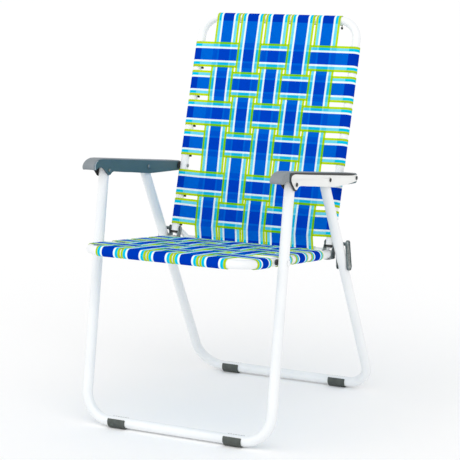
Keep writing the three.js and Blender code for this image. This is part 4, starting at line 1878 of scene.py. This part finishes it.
@dataclass(frozen=True)
class Webs:
    """All the webbing and the clips that hold its ends.

    Columns run up the back or along the seat, and are given by their distance from the
    chair's middle. Rows cross them, and are given by their height up the back from the
    armrest or their distance behind the seat's front run.
    """

    frames: TubeFrames
    width: float = WEBBING.width
    thickness: float = 0.8
    standoff: float = 0.95
    weave: float = 0.62
    edge_rise: float = 0.45
    hem_angle: float = 15.0
    wrap_step: float = 9.0
    selvedge: float = 3.0
    selvedge_lift: float = 0.14
    back_columns: tuple[float, ...] = (-125.0, -62.5, 0.0, 62.5, 125.0)
    back_rows: tuple[float, ...] = (260.3, 192.6, 123.7, 54.0, -39.3, -106.2)
    seat_columns: tuple[float, ...] = (-122.6, -61.3, 0.0, 61.3, 122.6)
    seat_rows: tuple[float, ...] = (66.0, 163.0, 240.5, 317.9)
    bow: float = 13.6
    middle_bow: float = 0.15
    bow_end: float = 1.07
    closing: float = 0.045
    closing_power: float = 1.6
    tuck_fade: float = 25.0
    clip_gap: float = 1.2
    clip_half_width: float = 2.4
    clip_half_thickness: float = 0.6
    long_neck: float = 5.0
    short_neck: float = 0.2

    def fall(self, up: float) -> float:
        """How far down the back a place is: 0 at the top bar, 1 at the lowest cross web."""
        share = (CHAIR.back_top - up) / (CHAIR.back_top - self.back_rows[-1])
        return min(max(share, 0.0), self.bow_end)

    def painted_shade_hollow(self, up: float, x: float) -> float:
        """How far the back's webs bow behind the side tubes' plane, by height and place across."""
        side = min(abs(x) / self.back_columns[-1], 1.0)
        return self.bow * self.fall(up) ** 2 * (1 + self.middle_bow * (1 - side**2))

    def closed_up(self, up: float) -> float:
        """The share by which the vertical webs have closed up towards the middle."""
        return self.closing * min(self.fall(up), 1.0) ** self.closing_power

    def tucked(self, from_corner: float, from_end: float) -> float:
        """Measures how far a seat web's point is drawn in where the tube at its end bends.

        Args:
            from_corner: how far the point is from the corner that the tube's axes would make.
            from_end: how far it is from the axis of the tube at the web's end.

        Returns:
            The distance towards the web's middle, which fades out away from the tube.
        """
        bend = self.frames.seat_bend
        short = max(bend - from_corner, 0.0)
        drawn = bend - math.sqrt(bend**2 - short**2)
        share = 1 - (from_end - CHAIR.frame_radius) / self.tuck_fade
        return drawn * min(max(share, 0.0), 1.0)

    def column_depth(self, x: float, along: float, across: float) -> float:
        """The depth of the vertical web at x, by place down it and across it."""
        return self.painted_shade_hollow(-along, x + across)

    def column_shift(self, x: float, along: float) -> float:
        """The shift towards the middle of the vertical web at x."""
        return -x * self.closed_up(-along)

    def row_depth(self, up: float, along: float, across: float) -> float:
        """The depth of the back's cross web at a height, by place along it and across it."""
        return self.painted_shade_hollow(up + across, along)

    def column_tuck(self, x: float, along: float, across: float) -> float:
        """The tuck of the seat's lengthwise web at x."""
        return self.tucked(CHAIR.frame_x - abs(x + across), along)

    def row_tuck(self, behind: float, along: float, across: float) -> float:
        """The tuck of the seat's cross web, by how far behind the front it lies."""
        drawn = self.tucked(behind - across, CHAIR.frame_x - abs(along))
        return -math.copysign(drawn, along)

    def wrap(self, bar: Bar, start: float, end: float) -> list[Station]:
        """Lists the stations of a web's centre line round a bar.

        Args:
            bar: the bar.
            start: the angle it starts at, in degrees.
            end: the angle it ends at.

        Returns:
            The stations.
        """
        steps = max(2, math.ceil(abs(end - start) / self.wrap_step))
        line = arc((bar.place, bar.height), bar.radius + self.standoff, start, end, steps)
        return [Station(u, w, 0.0, Zone.TUBE) for u, w in line]

    def meeting_angle(self, along: float, height: float, bar: Bar) -> float:
        """Finds where a straight stretch of web meets its wrap round a bar ahead.

        Args:
            along: the place along the web that the stretch starts from.
            height: its height.
            bar: the bar.

        Returns:
            The angle round the bar, in degrees.
        """
        ahead, above = along - bar.place, height - bar.height
        opening = math.acos((bar.radius + self.standoff) / math.hypot(ahead, above))
        return math.degrees(math.atan2(above, ahead) - opening) % 360

    def woven(self, web: Web) -> list[Station]:
        """Lists a web's stations where it passes over or under the webs that cross it.

        Args:
            web: the web.

        Returns:
            The stations.
        """
        level = CHAIR.frame_radius + self.standoff
        half = self.width / 2
        beside = half + 0.1
        inside = (-half, -half + 2, -18, -9, 0, 9, 18, half - 2, half)
        stations = []
        for i, place in enumerate(web.crossings):
            over = (i % 2 == 0) == web.first_over
            rise = self.weave if over else -self.weave
            for offset in (-beside, *inside, beside):
                share = self.edge_rise if abs(offset) >= half else 1.0
                zone = Zone.OPEN if abs(offset) > half else Zone.CROSSING
                height = level + rise * share - web.depth(place + offset, 0.0)
                stations.append(Station(place + offset, height, min(offset, half), zone))
        return stations

    def edge_of(self, bar: Bar, near: Station, far: Station, inward: int) -> list[Station]:
        """Lists the two stations where a web leaves a bar's outline and open air begins.

        Args:
            bar: the bar.
            near: the station where the web leaves its wrap.
            far: the next station inside the frame.
            inward: 1 or -1, the way along the web that leads into the frame.

        Returns:
            The stations, the one over the tube first.
        """
        stations = []
        for step, zone in ((0.0, Zone.TUBE), (0.5, Zone.OPEN)):
            along = bar.place + inward * (bar.radius + step)
            share = (along - near.along) / (far.along - near.along)
            height = near.height + (far.height - near.height) * share
            stations.append(Station(along, height, self.width / 2, zone))
        return stations

    def line(self, web: Web) -> list[Station]:
        """Draws a web's centre line.

        Args:
            web: the web.

        Returns:
            Its stations, from the hem at its first bar to the hem at its last.
        """
        woven = self.woven(web)
        first, last = woven[0], woven[-1]
        mirrored = Bar(-web.start_bar.place, web.start_bar.height, web.start_bar.radius)
        leaving = 180 - self.meeting_angle(-first.along, first.height, mirrored)
        start = self.wrap(web.start_bar, 360 - self.hem_angle, leaving)
        meeting = self.meeting_angle(last.along, last.height, web.end_bar)
        end = self.wrap(web.end_bar, meeting, self.hem_angle - 180)
        return [
            *start,
            *self.edge_of(web.start_bar, start[-1], first, 1),
            *woven,
            *reversed(self.edge_of(web.end_bar, end[0], last, -1)),
            *end,
        ]

    def section(self) -> list[tuple[float, float]]:
        """Draws a web's section, a little thicker at its bound edges.

        Returns:
            (across, off the centre line) pairs.
        """
        half, thin = self.width / 2, self.thickness / 2
        across = [-half + 0.3, -half + 1.2, -half + 3.5, -20, -13, -6.5, 0]
        across += [-x for x in reversed(across[:-1])]
        top = []
        for x in across:
            rim = half - abs(x)
            lift = thin if rim > self.selvedge else thin + self.selvedge_lift
            top.append((x, lift if rim > 0.5 else thin * 0.7))
        low = [(x, -lift) for x, lift in reversed(top)]
        return [*top, (half, 0.0), *low, (-half, 0.0)]

    def strap(self, web: Web) -> Shell:
        """Sweeps the web's section along its line.

        Args:
            web: the web.

        Returns:
            The strap, with the two maps that its finish reads.
        """
        stations = self.line(web)
        section = self.section()
        rings, web_map, behind_map = [], [], []
        travelled = 0.0
        for i, here in enumerate(stations):
            before, after = stations[max(i - 1, 0)], stations[min(i + 1, len(stations) - 1)]
            step = Vector((after.along - before.along, after.height - before.height)).normalized()
            travelled += math.hypot(here.along - before.along, here.height - before.height)
            place = web.origin + web.run * here.along + web.off * here.height
            place += web.across * web.shift(here.along)
            normal = web.off * step.x - web.run * step.y
            ring = []
            for x, lift in section:
                lean = 0.0
                if here.zone is not Zone.TUBE:
                    lean = web.depth(here.along, 0.0) - web.depth(here.along, x)
                tuck = web.run * web.tuck(here.along, x)
                ring.append(place + web.across * x + normal * lift + web.off * lean + tuck)
            rings.append(ring)
            web_map += [(x, travelled) for x, _ in section]
            behind_map += [(here.behind, here.zone.value)] * len(section)
        shell = loft(rings)
        shell.maps = {"web": web_map, "behind": behind_map}
        return shell

    def low_bar(self) -> Bar:
        """Places the back's low bar as its vertical webs meet it.

        Returns:
            The bar, counted down the back's line from the armrest.
        """
        sine, cosine = math.sin(CHAIR.back_lean), math.cos(CHAIR.back_lean)
        fall = CHAIR.back_line[1] - CHAIR.low_bar[1]
        advance = CHAIR.back_line[0] - CHAIR.low_bar[0]
        return Bar(
            fall * cosine + advance * sine,
            advance * cosine - fall * sine,
            self.frames.low_bar_radius,
        )

    def back_webs(self) -> list[Web]:
        """Lists the webs of the back.

        Returns:
            The webs, vertical ones first.
        """
        sine, cosine = math.sin(CHAIR.back_lean), math.cos(CHAIR.back_lean)
        up = Vector((0, sine, cosine))
        front = Vector((0, -cosine, sine))
        webs = []
        for i, x in enumerate(self.back_columns):
            webs.append(
                Web(
                    node=f"back_vertical_web_{i + 1}",
                    origin=Vector((x, *CHAIR.back_line)),
                    run=-up,
                    off=front,
                    across=Vector((1, 0, 0)),
                    crossings=[-place for place in self.back_rows],
                    first_over=i % 2 == 1,
                    start_bar=Bar(-CHAIR.back_top, 0.0, CHAIR.frame_radius),
                    end_bar=self.low_bar(),
                    depth=partial(self.column_depth, x),
                    shift=partial(self.column_shift, x),
                )
            )
        for i, place in enumerate(self.back_rows):
            columns = [x * (1 - self.closed_up(place)) for x in self.back_columns]
            origin = Vector((0, *CHAIR.on_back(place)))
            bowed = {"depth": partial(self.row_depth, place)}
            webs.append(self.cross_web("back", i, origin, front, up, columns, bowed))
        return webs

    def seat_webs(self) -> list[Web]:
        """Lists the webs of the seat.

        Returns:
            The webs, lengthwise ones first.
        """
        sine, cosine = math.sin(CHAIR.seat_slope), math.cos(CHAIR.seat_slope)
        rearward = Vector((0, cosine, -sine))
        up = Vector((0, sine, cosine))
        webs = []
        for i, x in enumerate(self.seat_columns):
            webs.append(
                Web(
                    node=f"seat_lengthwise_web_{i + 1}",
                    origin=Vector((x, *CHAIR.seat_front)),
                    run=rearward,
                    off=up,
                    across=Vector((1, 0, 0)),
                    crossings=self.seat_rows,
                    first_over=i % 2 == 1,
                    start_bar=Bar(0.0, 0.0, CHAIR.frame_radius),
                    end_bar=Bar(self.frames.rear_bar_behind, 0.0, self.frames.rear_bar_radius),
                    tuck=partial(self.column_tuck, x),
                )
            )
        for i, behind in enumerate(self.seat_rows):
            origin = Vector((0, *CHAIR.on_seat(behind)))
            tucked = {"tuck": partial(self.row_tuck, behind)}
            webs.append(
                self.cross_web("seat", i, origin, up, -rearward, self.seat_columns, tucked)
            )
        return webs

    @staticmethod
    def cross_web(
        frame: str,
        place: int,
        origin: Vector,
        off: Vector,
        across: Vector,
        columns: Sequence[float],
        form: dict[str, Depth],
    ) -> Web:
        """A web from one side tube to the other.

        Args:
            frame: the frame it is on, back or seat.
            place: its place in the order of the cross webs, from 0.
            origin: the point between the side tubes that it is drawn from.
            off: the direction out of the frame.
            across: the direction across the web.
            columns: the middles of the webs it crosses.
            form: its depth or its tuck.

        Returns:
            The web.
        """
        return Web(
            node=f"{frame}_cross_web_{place + 1}",
            origin=origin,
            run=Vector((1, 0, 0)),
            off=off,
            across=across,
            crossings=columns,
            first_over=place % 2 == 0,
            start_bar=Bar(-CHAIR.frame_x, 0.0, CHAIR.frame_radius),
            end_bar=Bar(CHAIR.frame_x, 0.0, CHAIR.frame_radius),
            **form,
        )

    def clip(self, web: Web, bar: Bar, inward: float, beside: float, neck: float) -> Shell:
        """A bent spring clip beside a web's end, hooked into the inner side of its bar.

        Args:
            web: the web it holds.
            bar: the bar.
            inward: 1 or -1, the way along the web that leads into the frame.
            beside: how far across the web from its middle the clip sits.
            neck: how far its narrow neck reaches in from the bar.

        Returns:
            The clip.
        """
        stem = [(-1.0, 1.2, 0.3), (neck, 0.4, 0.3)]
        tongue = [(neck + 0.8, 0.2, 1.0), (neck + 4.2, -0.6, 1.0), (neck + 5.0, -1.6, 0.7)]
        rings = []
        for reach, height, grow in stem + tongue:
            u = bar.place + inward * (bar.radius + reach)
            ring = []
            for a, b in ((-1, -1), (1, -1), (1, 1), (-1, 1)):
                lift = bar.height + height + b * self.clip_half_thickness
                place = web.origin + web.run * u + web.off * lift
                ring.append(place + web.across * (beside + a * self.clip_half_width * grow))
            rings.append(ring)
        return loft(rings)

    def build(self, maker: Maker) -> None:
        """Makes the webs and one set of clips for the back and one for the seat.

        Args:
            maker: what makes the pieces.
        """
        for body, webs in (("back", self.back_webs()), ("seat", self.seat_webs())):
            clips = Shell()
            for web in webs:
                name = web.node.replace("_web_", "_strap_")
                maker.piece(name, self.strap(web), body, [WEBBING], [web.node])
                lengthwise = web.run.x == 0
                beside = (self.width / 2 + self.clip_gap) * (1 if lengthwise else -1)
                neck = self.long_neck if lengthwise else self.short_neck
                clips.add(self.clip(web, web.start_bar, 1, beside, neck))
                clips.add(self.clip(web, web.end_bar, -1, 0.0, neck))
            maker.piece(f"{body}_web_clips", clips, body, [SPRING_STEEL])


# The studio


def direction(turn: float, rise: float) -> Vector:
    """Finds the direction from the chair towards a lamp or the camera.

    Args:
        turn: how far round the chair it stands, in degrees from the front towards +X.
        rise: its height above the horizon, in degrees.

    Returns:
        The unit vector.
    """
    round_chair, height = math.radians(turn), math.radians(rise)
    level = math.cos(height)
    return Vector(
        (math.sin(round_chair) * level, -math.cos(round_chair) * level, math.sin(height))
    )


def look_against(thing: bpy.types.Object, towards: Vector) -> None:
    """Turns a lamp or camera to look back along the direction it stands in."""
    thing.rotation_mode = "QUATERNION"
    thing.rotation_quaternion = (-towards).to_track_quat("-Z", "Y")


@dataclass(frozen=True)
class Softbox:
    """A distant lamp.

    Its turn and rise say where it stands, as for direction(). Its spread is how wide it looks
    from the chair, in degrees, and its strength is in watts per square metre.
    """

    name: str
    turn: float
    rise: float
    spread: float
    strength: float

    def build(self) -> None:
        """Makes the lamp."""
        data = bpy.data.lights.new(self.name, "SUN")
        data.angle = math.radians(self.spread)
        data.energy = self.strength
        look_against(add_object(self.name, data), direction(self.turn, self.rise))


@dataclass(frozen=True)
class Studio:
    """A pale floor, soft light and the camera at the photograph's angle."""

    target: Vector = Vector((58.6, -101.5, 424.7))
    azimuth: float = 27.59
    elevation: float = 10.14
    distance: float = 3588.6
    lens: float = 133.04
    sensor: float = 36.0
    sight_metres: float = 200.0
    floor_metres: float = 400.0
    floor_roughness: float = 0.9
    white: str = "#FFFFFF"
    room_strength: float = 0.75
    backdrop_strength: float = 1.0
    lamps: tuple[Softbox, ...] = (
        Softbox("front_right", 38.0, 40.0, 60.0, 0.78),
        Softbox("front_left", -42.0, 36.0, 60.0, 0.54),
    )

    def camera(self) -> None:
        """Places the camera."""
        data = bpy.data.cameras.new("camera")
        data.lens = self.lens
        data.sensor_width = self.sensor
        data.clip_end = self.sight_metres
        camera = add_object("camera", data)
        towards = direction(self.azimuth, self.elevation)
        camera.location = (self.target + towards * self.distance) * MM
        look_against(camera, towards)
        bpy.context.scene.camera = camera

    def floor(self) -> None:
        """Lays the floor, white enough to meet the backdrop without an edge."""
        half = self.floor_metres / 2
        mesh = bpy.data.meshes.new("floor")
        corners = [(-half, -half, 0), (half, -half, 0), (half, half, 0), (-half, half, 0)]
        mesh.from_pydata(corners, [], [(0, 1, 2, 3)])
        material, tree = new_material("studio_floor")
        shader = add_node(
            tree,
            "BsdfPrincipled",
            {
                "Base Color": linear(self.white),
                "Roughness": self.floor_roughness,
                "Specular IOR Level": 0.0,
            },
        )
        add_node(tree, "OutputMaterial", {"Surface": shader.outputs["BSDF"]})
        mesh.materials.append(material)
        add_object("floor", mesh)

    def room(self) -> None:
        """Surrounds the chair with a white room, and with plain white where it is looked at."""
        world = bpy.data.worlds.new("studio")
        world.use_nodes = True
        tree = world.node_tree
        tree.nodes.clear()
        room, backdrop = (
            add_node(tree, "Background", {"Color": linear(self.white), "Strength": strength})
            for strength in (self.room_strength, self.backdrop_strength)
        )
        rays = add_node(tree, "LightPath").outputs
        mirrored = add_node(
            tree,
            "Math",
            {0: rays["Is Glossy Ray"], 1: rays["Is Transmission Ray"]},
            operation="MAXIMUM",
        )
        seen = add_node(
            tree,
            "Math",
            {0: rays["Is Camera Ray"], 1: mirrored.outputs[0]},
            operation="MAXIMUM",
        )
        mix = add_node(
            tree,
            "MixShader",
            {
                0: seen.outputs[0],
                1: room.outputs["Background"],
                2: backdrop.outputs["Background"],
            },
        )
        add_node(tree, "OutputWorld", {"Surface": mix.outputs["Shader"]})
        bpy.context.scene.world = world

    def build(self) -> None:
        """Sets the stage."""
        bpy.context.scene.view_settings.view_transform = "Standard"
        self.camera()
        self.floor()
        self.room()
        for lamp in self.lamps:
            lamp.build()


def main() -> None:
    """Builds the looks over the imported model."""
    logging.basicConfig(level=logging.INFO, format="%(message)s")
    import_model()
    Studio().build()
    maker = Maker(Finishes())
    frames = TubeFrames()
    for assembly in (frames, FootClips(), Arms(), SeatPivots(), Hinges(), Webs(frames)):
        log.info("building %s", type(assembly).__name__)
        assembly.build(maker)


if __name__ == "__main__":
    main()
